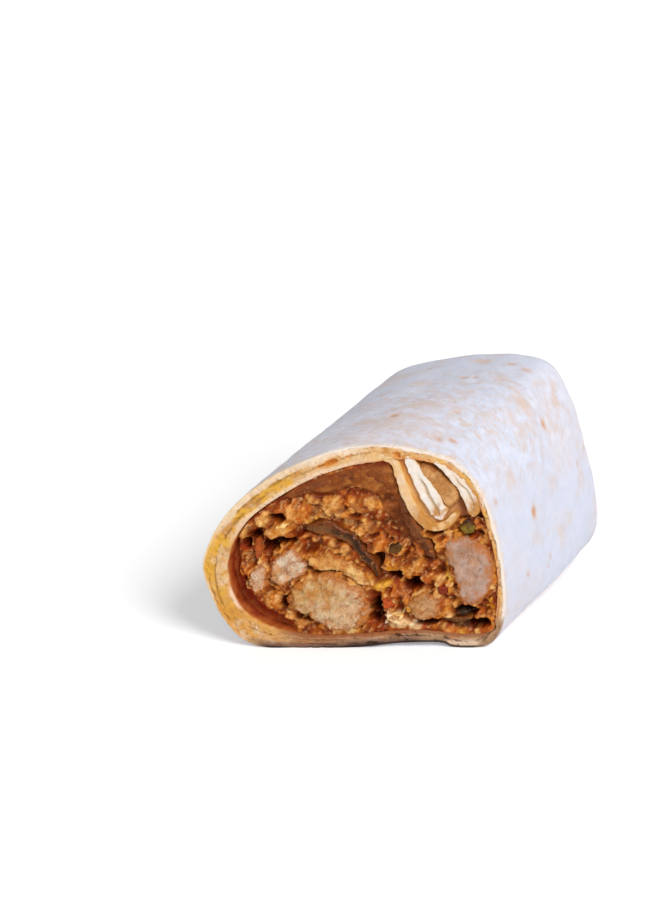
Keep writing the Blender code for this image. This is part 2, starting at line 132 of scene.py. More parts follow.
# What the filling's lumps are made of: light, middle and dark tones, also painting highlight on tops and
# shade low down
TONES = {
    "gold": ((222, 170, 102), (196, 122, 42), (132, 56, 12)),
    "pale": ((238, 198, 132), (216, 158, 82), (152, 78, 22)),
    "orange": ((206, 130, 50), (178, 90, 24), (116, 44, 8)),
    "amber": ((210, 146, 58), (178, 102, 30), (118, 52, 12)),
    "yellow": ((232, 182, 66), (204, 136, 34), (142, 70, 10)),
    "white": ((242, 220, 182), (224, 182, 128), (160, 90, 40)),
    "brown": ((142, 80, 34), (112, 56, 20), (76, 34, 8)),
    "olive": ((116, 82, 32), (88, 54, 18), (54, 30, 6)),
    "red": ((184, 76, 22), (146, 46, 10), (92, 24, 4)),
    "film": ((154, 92, 40), (126, 64, 23), (86, 38, 10)),
    "base": ((168, 84, 22), (130, 52, 10), (80, 26, 4)),
}
KINDS = [*TONES]
SMOOTH_KINDS = [KINDS.index(name) for name in ("brown", "olive", "film")]
# The filling's lumps on the cut: place (u, v), half sizes, turn in degrees, depth of the top and tone
LUMPS = (
    (-19.1, 37.8, 4.6, 1.7, 25, 0.9, "orange"), (-23.4, 34.7, 3.4, 1.8, 40, 0.6, "pale"),
    (-28.1, 31.6, 1.7, 3.4, -20, 0.6, "pale"), (-20.0, 32.0, 4.6, 2.6, 30, 0.3, "gold"),
    (-16.6, 35.6, 2.0, 2.8, -10, 0.6, "gold"), (-23.5, 25.2, 1.5, 2.6, 0, 0.9, "orange"),
    (-28.7, 20.7, 1.9, 2.3, 0, 0.9, "orange"), (-21.5, 12.4, 2.6, 4.0, 15, 0.8, "gold"),
    (-24.8, 15.0, 1.9, 2.3, -30, 1.4, "orange"), (-15.9, 7.3, 4.4, 2.1, -20, 0.6, "gold"),
    (-4.2, 3.9, 6.0, 1.1, 0, 0.7, "orange"), (-13.4, 36.6, 2.4, 2.2, 0, 0.9, "orange"),
    (-11.1, 39.6, 1.6, 1.3, 0, 0.5, "pale"), (-8.5, 36.6, 3.8, 1.8, 12, 0.2, "pale"),
    (-6.4, 39.4, 3.2, 1.6, 0, 0.5, "gold"), (-3.2, 36.6, 3.0, 2.0, -12, 0.3, "gold"),
    (-1.0, 39.4, 2.2, 1.6, 0, 0.8, "orange"), (1.7, 38.7, 3.3, 2.4, 0, 0.0, "pale"),
    (5.9, 36.0, 1.5, 1.9, 20, 0.5, "gold"), (1.5, 34.2, 2.0, 1.5, 0, 0.4, "pale"),
    (-1.6, 34.0, 1.7, 1.4, 0, 0.6, "pale"), (3.6, 32.3, 2.0, 1.7, 0, 0.4, "pale"),
    (2.6, 29.4, 2.6, 1.7, -25, 0.8, "gold"), (6.6, 27.6, 2.6, 2.2, 0, 0.7, "orange"),
    (9.6, 36.4, 1.6, 2.4, 10, 1.2, "orange"), (14.6, 22.3, 3.5, 4.0, -30, 0.0, "gold"),
    (9.4, 21.9, 2.6, 2.0, 10, 0.4, "yellow"), (7.0, 16.6, 2.8, 1.4, 20, 0.2, "yellow"),
    (12.1, 14.7, 3.0, 1.8, -30, 0.6, "orange"), (17.8, 18.3, 2.0, 1.8, 0, 0.7, "orange"),
    (21.6, 18.9, 1.9, 1.4, 10, 0.3, "gold"), (24.3, 19.6, 1.4, 2.2, 0, 0.5, "yellow"),
    (23.9, 24.2, 1.2, 3.2, -5, 0.5, "gold"), (20.6, 21.6, 1.7, 2.2, 0, 0.9, "orange"),
    (26.7, 14.7, 1.7, 1.8, 0, 0.5, "gold"), (26.3, 12.0, 1.5, 1.5, 0, 0.7, "gold"),
    (23.7, 11.0, 1.3, 1.6, 0, 0.6, "gold"), (24.2, 8.5, 1.6, 1.2, 0, 0.6, "pale"),
    (11.6, 7.2, 3.6, 2.3, -10, 0.2, "white"), (15.6, 5.9, 2.2, 1.2, 0, 0.5, "white"),
    (8.8, 9.0, 1.6, 1.4, 0, 0.6, "white"), (12.0, 5.2, 4.6, 0.9, 0, 0.9, "orange"),
    (34.2, 13.9, 2.2, 2.2, 20, 0.6, "gold"), (35.3, 10.8, 1.4, 1.8, 0, 0.8, "yellow"),
    (31.0, 14.0, 2.4, 1.4, 30, 0.9, "orange"), (36.4, 21.6, 0.9, 4.2, 5, 0.9, "orange"),
    (32.6, 31.2, 2.2, 1.2, -25, 0.8, "gold"), (20.6, 29.9, 1.5, 1.3, 0, 0.7, "gold"),
    (17.2, 31.2, 1.8, 1.3, 0, 0.6, "pale"), (22.4, 27.6, 1.3, 1.7, 0, 0.8, "gold"),
    (23.4, 31.2, 2.0, 1.0, -15, 0.7, "pale"), (28.4, 6.0, 3.2, 1.0, 0, 1.2, "olive"),
    (35.0, 6.9, 2.0, 1.5, 0, 1.0, "orange"), (18.6, 26.8, 2.2, 1.5, -60, 1.0, "orange"),
    (-15.0, 42.2, 4.6, 1.5, 30, 1.2, "brown"), (-6.0, 43.6, 5.6, 1.9, 10, 1.0, "brown"),
    (1.0, 31.6, 2.0, 1.4, 10, 0.5, "gold"), (8.9, 41.0, 2.4, 5.0, -18, 1.0, "brown"),
    (12.8, 34.0, 1.9, 4.0, -26, 1.1, "brown"), (-8.4, 28.9, 5.0, 1.1, -8, 0.5, "brown"),
    (-1.2, 26.0, 3.2, 1.2, -38, 0.6, "brown"),
    (-18.6, 16.0, 1.3, 1.6, 0, 1.2, "orange"), (-9.0, 4.9, 3.0, 1.1, 0, 0.9, "orange"),
    (18.4, 11.0, 5.0, 4.0, 0, 1.6, "orange"), (-26.6, 26.4, 1.5, 2.0, 0, 1.6, "red"),
)
# Brown onion lies smooth and bare here, from under the top wall down beside the inner fold
FILM = (
    (-18.0, 43.6), (-13.0, 41.4), (-7.0, 42.2), (-3.4, 44.2), (1.6, 43.0), (5.6, 41.4), (7.0, 37.8),
    (9.6, 33.4), (12.6, 29.6), (15.4, 28.6), (16.4, 31.4), (14.6, 36.0), (12.2, 41.0), (10.6, 46.0),
    (8.6, 49.0), (5.0, 49.9), (-3.4, 48.0), (-12.0, 45.2),
)
# Gaps between the lumps, sunk and painted dark as shade: place (u, v) and half sizes
GAPS = (
    (-20.0, 35.2, 1.7, 1.0), (-25.6, 30.0, 1.2, 1.5), (-22.0, 27.6, 1.8, 1.1), (-17.4, 12.4, 1.3, 1.5),
    (-12.5, 8.6, 2.5, 1.2), (-7.3, 22.0, 4.0, 0.6), (-18.2, 29.0, 2.4, 0.6), (20.2, 27.6, 0.6, 0.9),
    (6.0, 23.9, 1.1, 1.5), (10.0, 19.6, 1.7, 0.7), (15.1, 17.3, 1.8, 1.2),
    (5.8, 12.4, 1.2, 1.0), (5.4, 9.8, 1.3, 2.4), (28.7, 9.6, 2.3, 1.7), (31.8, 6.2, 3.0, 1.1),
    (20.4, 31.4, 1.6, 0.6), (27.2, 35.8, 1.4, 0.8), (19.2, 6.6, 2.4, 0.8), (-28.0, 28.4, 1.0, 1.2),
)

# The chunks, with how far each runs back, how far it stands out of the cut and its outline there
CHICKEN = (
    ("chicken_large", 24.0, 1.2, (
        (-16.4, 11.0), (-16.9, 15.2), (-13.4, 18.9), (-7.6, 21.2), (-2.6, 19.6), (2.4, 16.1), (4.2, 11.4),
        (2.6, 6.0), (-2.4, 4.7), (-7.6, 6.0), (-11.4, 9.4))),
    ("chicken_right", 22.0, 0.8, (
        (23.4, 26.6), (25.0, 30.0), (29.4, 30.2), (33.6, 27.4), (35.8, 22.0), (35.4, 16.8), (32.6, 12.4),
        (28.6, 12.0), (26.8, 17.0), (25.4, 22.0))),
    ("chicken_left", 18.0, 0.9, (
        (-21.6, 22.2), (-19.8, 25.8), (-15.6, 26.8), (-12.2, 24.4), (-11.9, 21.0), (-15.0, 19.6),
        (-18.2, 17.4), (-21.2, 18.6))),
    ("chicken_far_left", 14.0, 0.6, (
        (-27.0, 18.0), (-26.2, 21.8), (-23.4, 22.6), (-22.3, 19.8), (-22.9, 16.8), (-25.2, 15.8))),
    ("chicken_low_right", 16.0, 0.7, (
        (14.2, 12.4), (16.0, 14.8), (20.2, 14.8), (22.6, 12.2), (21.6, 8.6), (18.0, 7.8), (15.0, 9.4))),
    ("chicken_strip", 20.0, 1.0, (
        (-11.6, 24.8), (-8.0, 26.3), (-2.8, 25.2), (1.8, 21.6), (4.4, 17.8), (2.8, 17.6), (-1.4, 20.9),
        (-6.4, 22.7), (-10.4, 22.6))),
    ("chicken_in_fold", 18.0, -0.4, (
        (15.6, 48.8), (17.7, 50.0), (20.2, 48.4), (23.8, 45.4), (26.4, 42.6), (26.2, 39.8), (24.0, 38.0),
        (22.0, 40.4), (19.0, 45.0))),
)
PEPPER = (
    ("green_pepper_top", 9.0, 0.9, ((27.0, 33.2), (28.4, 34.9), (31.0, 33.0), (30.6, 31.2), (28.4, 31.0))),
    ("green_pepper_middle", 8.0, 0.6, ((8.6, 26.2), (9.4, 28.4), (12.4, 28.6), (12.2, 26.4), (10.4, 25.6))),
    ("green_pepper_low", 9.0, 0.4, ((25.8, 9.7), (27.8, 10.6), (30.0, 9.9), (29.0, 8.9))),
    ("red_pepper_middle", 8.0, 0.9, ((7.3, 13.6), (9.8, 14.2), (10.6, 11.6), (8.2, 10.6))),
    ("red_pepper_right", 8.0, 0.7, ((21.4, 17.0), (24.2, 17.0), (24.5, 14.8), (22.2, 14.6))),
)
# Strips of onion, with how far each stands out, its width and its middle line
ONION = (
    ("onion_top", 0.2, 2.9, ((-17.6, 40.9), (-10.4, 44.6), (-2.6, 46.9), (4.4, 47.4), (8.2, 44.2))),
    ("onion_middle", 0.7, 2.7, ((-12.6, 31.9), (-6.4, 31.3), (-0.8, 28.6), (3.0, 24.4), (6.4, 19.6))),
    ("onion_right", 0.4, 2.6, ((11.5, 42.0), (13.2, 36.6), (16.2, 30.6), (20.6, 24.6))),
    ("onion_left", 0.3, 1.8, ((-25.3, 29.6), (-25.0, 26.6), (-25.4, 23.9))),
    ("onion_low_right", 0.3, 1.6, ((23.2, 8.0), (26.6, 7.0), (30.2, 7.4))),
)


# ---- numbers ----

def smooth(low, high, value):
    """From 0 at low to 1 at high, with soft ends."""
    t = np.clip((value - low) / (high - low), 0.0, 1.0)
    return t * t * (3.0 - 2.0 * t)


def hashed(cell, seed):
    """A fixed random number from 0 to 1 for each whole-numbered place."""
    h = cell[..., 0] * 73856093 ^ cell[..., 1] * 19349663 ^ cell[..., 2] * 83492791 ^ (seed + 1) * 668265263
    h = (h & 0xFFFFFFFF) * 1274126177 & 0xFFFFFFFF
    h = (h ^ (h >> 15)) * 2246822519 & 0xFFFFFFFF
    return ((h ^ (h >> 13)) & 0xFFFFFF) / float(0xFFFFFF)


def rough(points, size, seed=0):
    """Smooth random numbers from -1 to 1 that change over lengths of about size."""
    p = np.asarray(points, float) / size
    cell = np.floor(p).astype(np.int64)
    f = p - cell
    f = f * f * f * (f * (f * 6 - 15) + 10)
    total = np.zeros(p.shape[:-1])
    for corner in itertools.product((0, 1), repeat=3):
        share = np.prod(np.where(corner, f, 1 - f), axis=-1)
        total += share * hashed(cell + np.array(corner), seed)
    return 2 * total - 1


def fractal(points, size, octaves, seed=0, keep=0.55):
    """Rough numbers of several sizes, each half as large as the one before."""
    total, reach = 0.0, 0.0
    for k in range(octaves):
        total = total + rough(points, size / 2 ** k, seed + k) * keep ** k
        reach += keep ** k
    return total / reach


def cells(u, v, size, seed):
    """Distances to the nearest two of scattered points, in sizes, and the nearest one's own number."""
    p = np.stack([u, v], -1) / size
    home = np.floor(p).astype(np.int64)
    first, second = np.full((2, len(u)), 9.0)
    own = np.zeros(len(u))
    for step in itertools.product((-1, 0, 1), repeat=2):
        cell = np.concatenate([home + step, np.zeros((len(u), 1), np.int64)], axis=1)
        place = cell[:, :2] + np.stack([hashed(cell, seed), hashed(cell, seed + 1)], -1)
        d = np.linalg.norm(p - place, axis=1)
        second = np.minimum(second, np.maximum(first, d))
        own = np.where(d < first, hashed(cell, seed + 2), own)
        first = np.minimum(first, d)
    return first, second, own


def crumble(u, v, size, seed):
    """Relief of packed soft crumbs, in millimetres towards the eye, and how much each place is in a crack."""
    spot = flat(u, v, seed)
    bent_u = u + 0.6 * size * fractal(spot, size, 4, seed + 1, 0.7)
    bent_v = v + 0.6 * size * fractal(spot, size, 4, seed + 4, 0.7)
    relief, crack = -0.40, 0.0
    for share, width in ((0.46, 1.0), (0.30, 0.5)):
        near, next_near, own = cells(bent_u, bent_v, width * size, seed)
        dome = smooth(0.0, 0.6, next_near - near)
        relief = relief + share * dome * (0.4 + own)
        crack = crack + 1.4 * share * smooth(0.22, 0.0, next_near - near)
    relief += 0.45 * fractal(spot, 0.9 * size, 4, seed + 8, 0.62)
    crack *= smooth(-0.2, 0.5, rough(spot, 2.2 * size, seed + 7))
    return relief * size / 1.5, crack


def blurred(values, reach):
    """A grid of values with each spread over its neighbours, about so many each way."""
    far = math.ceil(3 * reach)
    weights = np.exp(-0.5 * (np.arange(-far, far + 1) / reach) ** 2)
    weights /= weights.sum()
    for axis in (0, 1):
        margins = [(far, far) if k == axis else (0, 0) for k in range(values.ndim)]
        padded = np.pad(values, margins, mode="edge")
        values = sum(weight * np.take(padded, np.arange(k, k + values.shape[axis]), axis)
                     for k, weight in enumerate(weights))
    return values


def three_tones(colours, height):
    """From the third colour at height 0 through the second at a half to the first at 1."""
    high, middle, low = colours
    return painted(linear(low), (middle, smooth(0.0, 0.5, height)), (high, smooth(0.5, 1.0, height)))


def flat(u, v, w=0.0):
    """(u, v) on the cut as points for the rough numbers."""
    return np.stack([u, v, np.full_like(u, w)], -1)


def linear(colour):
    """A colour out of 255, as light."""
    c = np.asarray(colour, float) / 255.0
    return np.where(c <= 0.04045, c / 12.92, ((c + 0.055) / 1.055) ** 2.4)


def blend(one, two, share):
    """Colours between one and two, both as light."""
    return one + (two - one) * np.asarray(share)[..., None]


def painted(tone, *coats):
    """Colours under coats of others: each coat is a colour out of 255 and how much of it shows."""
    for colour, share in coats:
        tone = blend(tone, linear(colour), share)
    return tone


# ---- places ----

def section(u, v):
    """Where (u, v) on the cut lies across the roll."""
    x = u * math.cos(CUT_SLANT) - v * math.sin(CUT_LEAN) * math.sin(CUT_SLANT)
    return x, v * math.cos(CUT_LEAN)


def cut_y(x, z):
    """Where the cut crosses a line along the roll."""
    return x * math.tan(CUT_SLANT) + z * math.tan(CUT_LEAN) / math.cos(CUT_SLANT)


def behind(u, v, back):
    """Millimetres behind (u, v) on the cut, straight along the roll."""
    x, z = section(u, v)
    return np.stack(np.broadcast_arrays(x, cut_y(x, z) + back, z), -1)


def inwards(u, v, back):
    """The same, but following the hollow of the roll as it changes towards the folded end."""
    x, z = section(u, v)
    y = cut_y(x, z)
    share = back / (END_AT - END_WALL - y)
    return np.stack(np.broadcast_arrays(
        x * (1 + INNER_NARROWS * share) + INNER_SHIFTS * share, y + back, z * (1 + INNER_RISES * share)), -1)


def spline(points, steps, closed=True):
    """Points on a smooth curve through the given ones, so many to a span."""
    p = np.array(points, float)
    if closed:
        a, b, c, d = (np.roll(p, k, axis=0) for k in (1, 0, -1, -2))
    else:
        padded = np.vstack([p[:1], p, p[-1:]])
        a, b, c, d = padded[:-3], padded[1:-2], padded[2:-1], padded[3:]
    t = (np.arange(steps) / steps)[:, None, None]
    bend, twist = 2 * a - 5 * b + 4 * c - d, 3 * b - a - 3 * c + d
    curve = 0.5 * (2 * b + (c - a) * t + bend * t ** 2 + twist * t ** 3)
    curve = curve.transpose(1, 0, 2).reshape(-1, 2)
    return curve if closed else np.vstack([curve, p[-1:]])


def normals(loop):
    """Outward directions of a closed loop."""
    along = np.roll(loop, -1, axis=0) - np.roll(loop, 1, axis=0)
    area = np.sum(loop[:, 0] * np.roll(loop[:, 1], -1) - np.roll(loop[:, 0], -1) * loop[:, 1])
    out = np.stack([along[:, 1], -along[:, 0]], -1) * np.sign(area)
    return out / np.linalg.norm(out, axis=1, keepdims=True)


def along_line(line):
    """How far along an open line each of its points lies, and the direction to its left there."""
    s = np.concatenate([[0.0], np.cumsum(np.linalg.norm(np.diff(line, axis=0), axis=1))])
    along = np.gradient(line, axis=0)
    along /= np.linalg.norm(along, axis=1, keepdims=True)
    return s, np.stack([-along[:, 1], along[:, 0]], -1)


def turned(u, v, angle):
    """How far places lie along a direction at that angle, and across it."""
    c, s = math.cos(angle), math.sin(angle)
    return u * c + v * s, v * c - u * s


def as_path(loop):
    """A closed loop as a path that ends where it starts."""
    return np.vstack([loop, loop[:1]])


def within(u, v, loop):
    """Whether each place lies inside a closed loop."""
    inside = np.zeros(u.shape, bool)
    for (x0, y0), (x1, y1) in zip(loop, np.roll(loop, -1, axis=0)):
        crosses = (y0 > v) != (y1 > v)
        inside ^= crosses & (u < (x1 - x0) * (v - y0) / (y1 - y0 + 1e-12) + x0)
    return inside


def distance(points, path):
    """How far each point is from a path, and how far along the path its nearest place lies."""
    best = np.full(len(points), 1e9)
    along = np.zeros(len(points))
    done = 0.0
    for one, two in zip(path[:-1], path[1:]):
        step = two - one
        length = np.linalg.norm(step) + 1e-12
        t = np.clip((points - one) @ step / length ** 2, 0.0, 1.0)
        d = np.linalg.norm(points - one - t[:, None] * step, axis=1)
        near = d < best
        best = np.where(near, d, best)
        along = np.where(near, done + t * length, along)
        done += length
    return best, along


# ---- meshes ----

def piece(name, points, faces, tone, gloss, replaced, surface):
    """A piece from points in millimetres about the cut, with its colours and gloss, riding on the wrap."""
    mesh = bpy.data.meshes.new(name)
    mesh.from_pydata(((points - (*ORIGIN, 0.0)) * MM).tolist(), [], [tuple(face) for face in faces])
    mesh.validate()
    colours = np.concatenate([np.clip(tone, 0.0, 1.0), np.ones((len(tone), 1))], axis=1)
    mesh.color_attributes.new("tone", "FLOAT_COLOR", "POINT").data.foreach_set("color", colours.ravel())
    glosses = np.broadcast_to(gloss, len(tone))
    mesh.attributes.new("gloss", "FLOAT", "POINT").data.foreach_set("value", glosses)
    mesh.shade_smooth()
    mesh.materials.append(surface)
    thing = bpy.data.objects.new(name, mesh)
    bpy.context.scene.collection.objects.link(thing)
    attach(thing, "root")
    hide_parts(*replaced)


def grid_faces(rows, columns, closed=False, first=0):
    """Quads over rows of points; closed joins the last column to the first."""
    wide = columns if closed else columns - 1
    i, j = np.meshgrid(np.arange(rows - 1), np.arange(wide), indexing="ij")
    k = (j + 1) % columns
    quads = np.stack([i * columns + j, i * columns + k, (i + 1) * columns + k, (i + 1) * columns + j], -1)
    return (quads.reshape(-1, 4) + first).tolist()


# ---- materials ----

WET_ROUGHNESS = 0.16


def fill(tree, node, inputs):
    """Sets or links some of a shader node's inputs."""
    for key, value in inputs.items():
        if isinstance(value, bpy.types.NodeSocket):
            tree.links.new(value, node.inputs[key])
        else:
            node.inputs[key].default_value = value


def add_node(tree, kind, inputs, operation=None):
    """A new shader node with those inputs; gives its outputs."""
    node = tree.nodes.new("ShaderNode" + kind)
    if operation:
        node.operation = operation
    fill(tree, node, inputs)
    return node.outputs


def material(name, grain, grain_depth, fine, mottle, roughness, subsurface, specular):
    """A food surface: its own colours, mottled (size and amount), with gloss and a grain of two sizes."""
    mat = bpy.data.materials.new(name)
    mat.use_nodes = True
    tree = mat.node_tree
    place = add_node(tree, "TexCoord", {})["Object"]

    def texture(size, detail):
        inputs = {"Vector": place, "Scale": 1.0 / size, "Detail": detail, "Roughness": 0.6}
        return add_node(tree, "TexNoise", inputs)["Fac"]

    def spread(value, low, high, to_low, to_high):
        inputs = {"Value": value, "From Min": low, "From Max": high, "To Min": to_low, "To Max": to_high}
        return add_node(tree, "MapRange", inputs)["Result"]

    def product(one, two):
        return add_node(tree, "Math", {0: one, 1: two}, "MULTIPLY")[0]

    def attribute(key):
        node = tree.nodes.new("ShaderNodeAttribute")
        node.attribute_name = key
        return node.outputs

    def bump(size, detail, depth, inputs):
        height = texture(size, detail)
        return add_node(tree, "Bump", {"Strength": 1.0, "Distance": depth, "Height": height, **inputs})[0]

    size, amount = mottle
    shade = spread(texture(size, 5.0), 0.3, 0.7, 1.0 - amount, 1.0 + amount)
    speck = spread(texture(fine * 1.3, 3.0), 0.35, 0.65, 1.0 - 0.5 * amount, 1.0 + 0.5 * amount)
    tone = attribute("tone")["Color"]
    wet = product(attribute("gloss")["Fac"], spread(texture(grain * 1.5, 2.0), 0.35, 0.65, 0.7, 1.0))
    coarse = bump(grain, 4.0, grain_depth, {})
    fill(tree, tree.nodes["Principled BSDF"], {
        "Base Color": add_node(tree, "VectorMath", {0: tone, "Scale": product(shade, speck)}, "SCALE")[0],
        "Roughness": spread(wet, 0.0, 1.0, roughness, WET_ROUGHNESS),
        "Normal": bump(fine, 2.0, grain_depth * 0.35, {"Normal": coarse}),
        "Subsurface Weight": subsurface,
        "Subsurface Radius": (1.0, 0.5, 0.25),
        "Subsurface Scale": 1.6 * MM,
        "Specular IOR Level": specular,
    })
    return mat


TORTILLA = material("tortilla_crumb", 1.5 * MM, 0.16 * MM, 0.42 * MM, (2.6 * MM, 0.035), 0.78, 0.12, 0.25)
STUFFING = material("sauced_filling", 0.7 * MM, 0.14 * MM, 0.28 * MM, (1.0 * MM, 0.12), 0.5, 0.12, 0.08)
MEAT = material("chicken_meat", 0.8 * MM, 0.16 * MM, 0.28 * MM, (1.3 * MM, 0.08), 0.6, 0.15, 0.12)
VEGETABLE = material("soft_vegetable", 1.6 * MM, 0.10 * MM, 0.40 * MM, (1.2 * MM, 0.16), 0.40, 0.15, 0.16)


# ---- the tortilla ----

SKIN_STEPS = 18
RIM_STEPS = 2 * SKIN_STEPS
SKIN_ROWS = 118
DOME_ROWS = 30
RIM_ROWS = 46
DOME_TIP = 0.004                    # size of the middle of the folded end, as a share
SKIN_FRONT = 1.3                    # how far behind the cut the skin's rows stop
OUTER_EDGE = 0.5                    # rounding of the cut's outer edge
INNER_EDGE = 0.45
WALL_BACKS = (1.2, 2.0, 3.2, 4.8, 7.0, 10.0, 14.0)
FOLD_BACKS = (16.0, 9.0, 5.0, 3.0, 1.8, 1.0)
LINING_STEP = 0.3
LINING_BOX = (-4, 40, 30, 56)       # from and to in u, then in v

# Toasted spots on the skin: place, radius and strength
SPOTS = (
    (29.0, 52.2, 48.9, 1.1, 0.8), (32.7, 39.5, 29.6, 1.5, 0.95), (35.8, 61.1, 34.9, 0.8, 0.6),
    (5.8, 52.2, 57.5, 1.1, 0.7), (8.8, 52.7, 57.9, 0.9, 0.55), (15.5, 61.6, 59.7, 1.0, 0.5),
    (12.3, 23.4, 53.4, 1.1, 0.7), (15.0, 25.3, 52.8, 1.1, 0.7), (12.0, 34.6, 55.8, 1.1, 0.4),
    (-2.8, 27.9, 54.7, 1.3, 0.8), (27.5, 25.5, 37.9, 0.8, 0.45), (36.5, 43.1, 15.6, 0.7, 0.5),
    (35.1, 31.5, 15.5, 0.9, 0.65), (36.6, 41.6, 13.0, 0.6, 0.45), (27.6, 62.1, 54.9, 0.9, 0.35),
    (20.2, 60.2, 59.4, 1.3, 0.4), (-22.0, 20.0, 44.0, 1.4, 0.8), (-33.0, 8.0, 28.0, 1.2, 0.7),
    (-30.0, 34.0, 34.0, 1.5, 0.8), (-14.0, 44.0, 51.0, 1.2, 0.6), (-31.5, 50.0, 22.0, 1.0, 0.6),
    (-26.0, 58.0, 40.0, 1.3, 0.6), (-34.0, 24.0, 13.0, 1.1, 0.5), (-8.0, 60.0, 54.0, 1.0, 0.5),
    (12.0, 71.4, 44.0, 1.4, 0.7), (-12.0, 71.4, 26.0, 1.2, 0.6), (24.0, 71.2, 20.0, 1.3, 0.7),
)
# Toasted patches: place, length round the roll, width along it and strength
PATCHES = (
    (1.3, 34.9, 55.9, 10.0, 4.5, 0.5), (-4.9, 25.2, 54.0, 9.0, 4.0, 0.6), (6.0, 42.0, 57.0, 9.0, 3.5, 0.4),
    (23.1, 49.2, 55.8, 4.5, 4.5, 0.6), (17.4, 52.7, 58.3, 6.0, 3.0, 0.4), (20.5, 37.6, 53.6, 5.0, 3.5, 0.55),
    (28.0, 33.5, 41.3, 5.0, 4.0, 0.4), (23.9, 41.9, 52.2, 4.0, 3.0, 0.4), (7.3, 28.4, 55.4, 7.0, 3.0, 0.4),
    (34.6, 37.9, 21.9, 4.0, 4.0, 0.3), (36.9, 48.5, 19.7, 4.0, 4.0, 0.3), (-28.0, 26.0, 38.0, 9.0, 6.0, 0.5),
    (-32.0, 44.0, 22.0, 9.0, 6.0, 0.45), (-16.0, 56.0, 50.0, 8.0, 5.0, 0.4),
    (4.0, 71.0, 40.0, 12.0, 4.0, 0.4), (14.0, 71.0, 18.0, 12.0, 4.0, 0.4),
)
# The edge of an inner layer that shows through the skin
RIDGE = (
    (9.7, 55.2, 58.2), (15.4, 54.0, 58.5), (21.4, 50.6, 57.0), (24.6, 49.4, 54.5), (27.1, 49.0, 51.0),
    (28.9, 48.6, 47.0), (30.7, 47.0, 41.0), (32.0, 44.6, 35.3), (33.6, 43.0, 28.0),
)


def skin_rows():
    """Rows of points from the tip of the folded end to just behind the cut."""
    near = np.stack(section(*spline(OUTER_AT_CUT, SKIN_STEPS).T), -1)
    far = spline(OUTER_AT_END, SKIN_STEPS)
    centre = np.array(END_CENTRE)
    rows = []
    t = np.linspace(0.0, 1.0, DOME_ROWS + 1)[1:]
    stations = np.linspace(0.0, 1.0, len(END_DOME))
    for k in t[::-1]:
        out, size = (np.interp(k, stations, values) for values in zip(*END_DOME))
        x, z = (centre + (far - centre) * max(size, DOME_TIP)).T
        across, rise = x - centre[0], z - centre[1]
        left, right = (np.exp(-((rise - slope * across) / CREASE_WIDTH) ** 2) for slope in TUCK_SLOPES)
        left *= smooth(TUCK_OVERLAP + 1.0, TUCK_OVERLAP - 1.0, across)
        right *= smooth(-TUCK_OVERLAP - 1.0, -TUCK_OVERLAP + 1.0, across)
        sunk = CREASE * np.maximum(left, right) * min(1.0, max(3 * out - 1, 0.0))
        rows.append(np.stack([x, END_AT + END_BULGE * out - sunk, np.maximum(z, 0.0)], -1))
    y_cut = cut_y(near[:, 0], near[:, 1])
    for k in np.linspace(0.0, 1.0, SKIN_ROWS):
        share = (1.0 - k) + SKIN_FRONT / (END_AT - y_cut) * k
        x, z = (near + (far - near) * share[:, None]).T
        rows.append(np.stack([x, y_cut * (1 - share) + END_AT * share, z], -1))
    return np.array(rows)


def swollen(points, away):
    """Points of the outside, moved away from the roll's middle by the solid's dents and by finer ones."""
    y_cut = cut_y(points[:, 0], points[:, 2])
    share = np.clip((points[:, 1] - y_cut) / (END_AT - y_cut), 0.0, 1.0)
    amount = np.array([noise.noise(Vector(p) / DENT_PITCH) for p in points])
    lift = np.clip(points[:, 2] / BASE_FADE, 0.0, 1.0)
    move = DENT * amount * np.sin(np.pi * share) * lift
    broad = 0.34 * rough(points, 9.0, 3) + 0.12 * fractal(points, 3.4, 2, 5)
    move += broad * lift * smooth(0.0, 3.0, points[:, 1] - y_cut)
    return points + away * move[:, None]


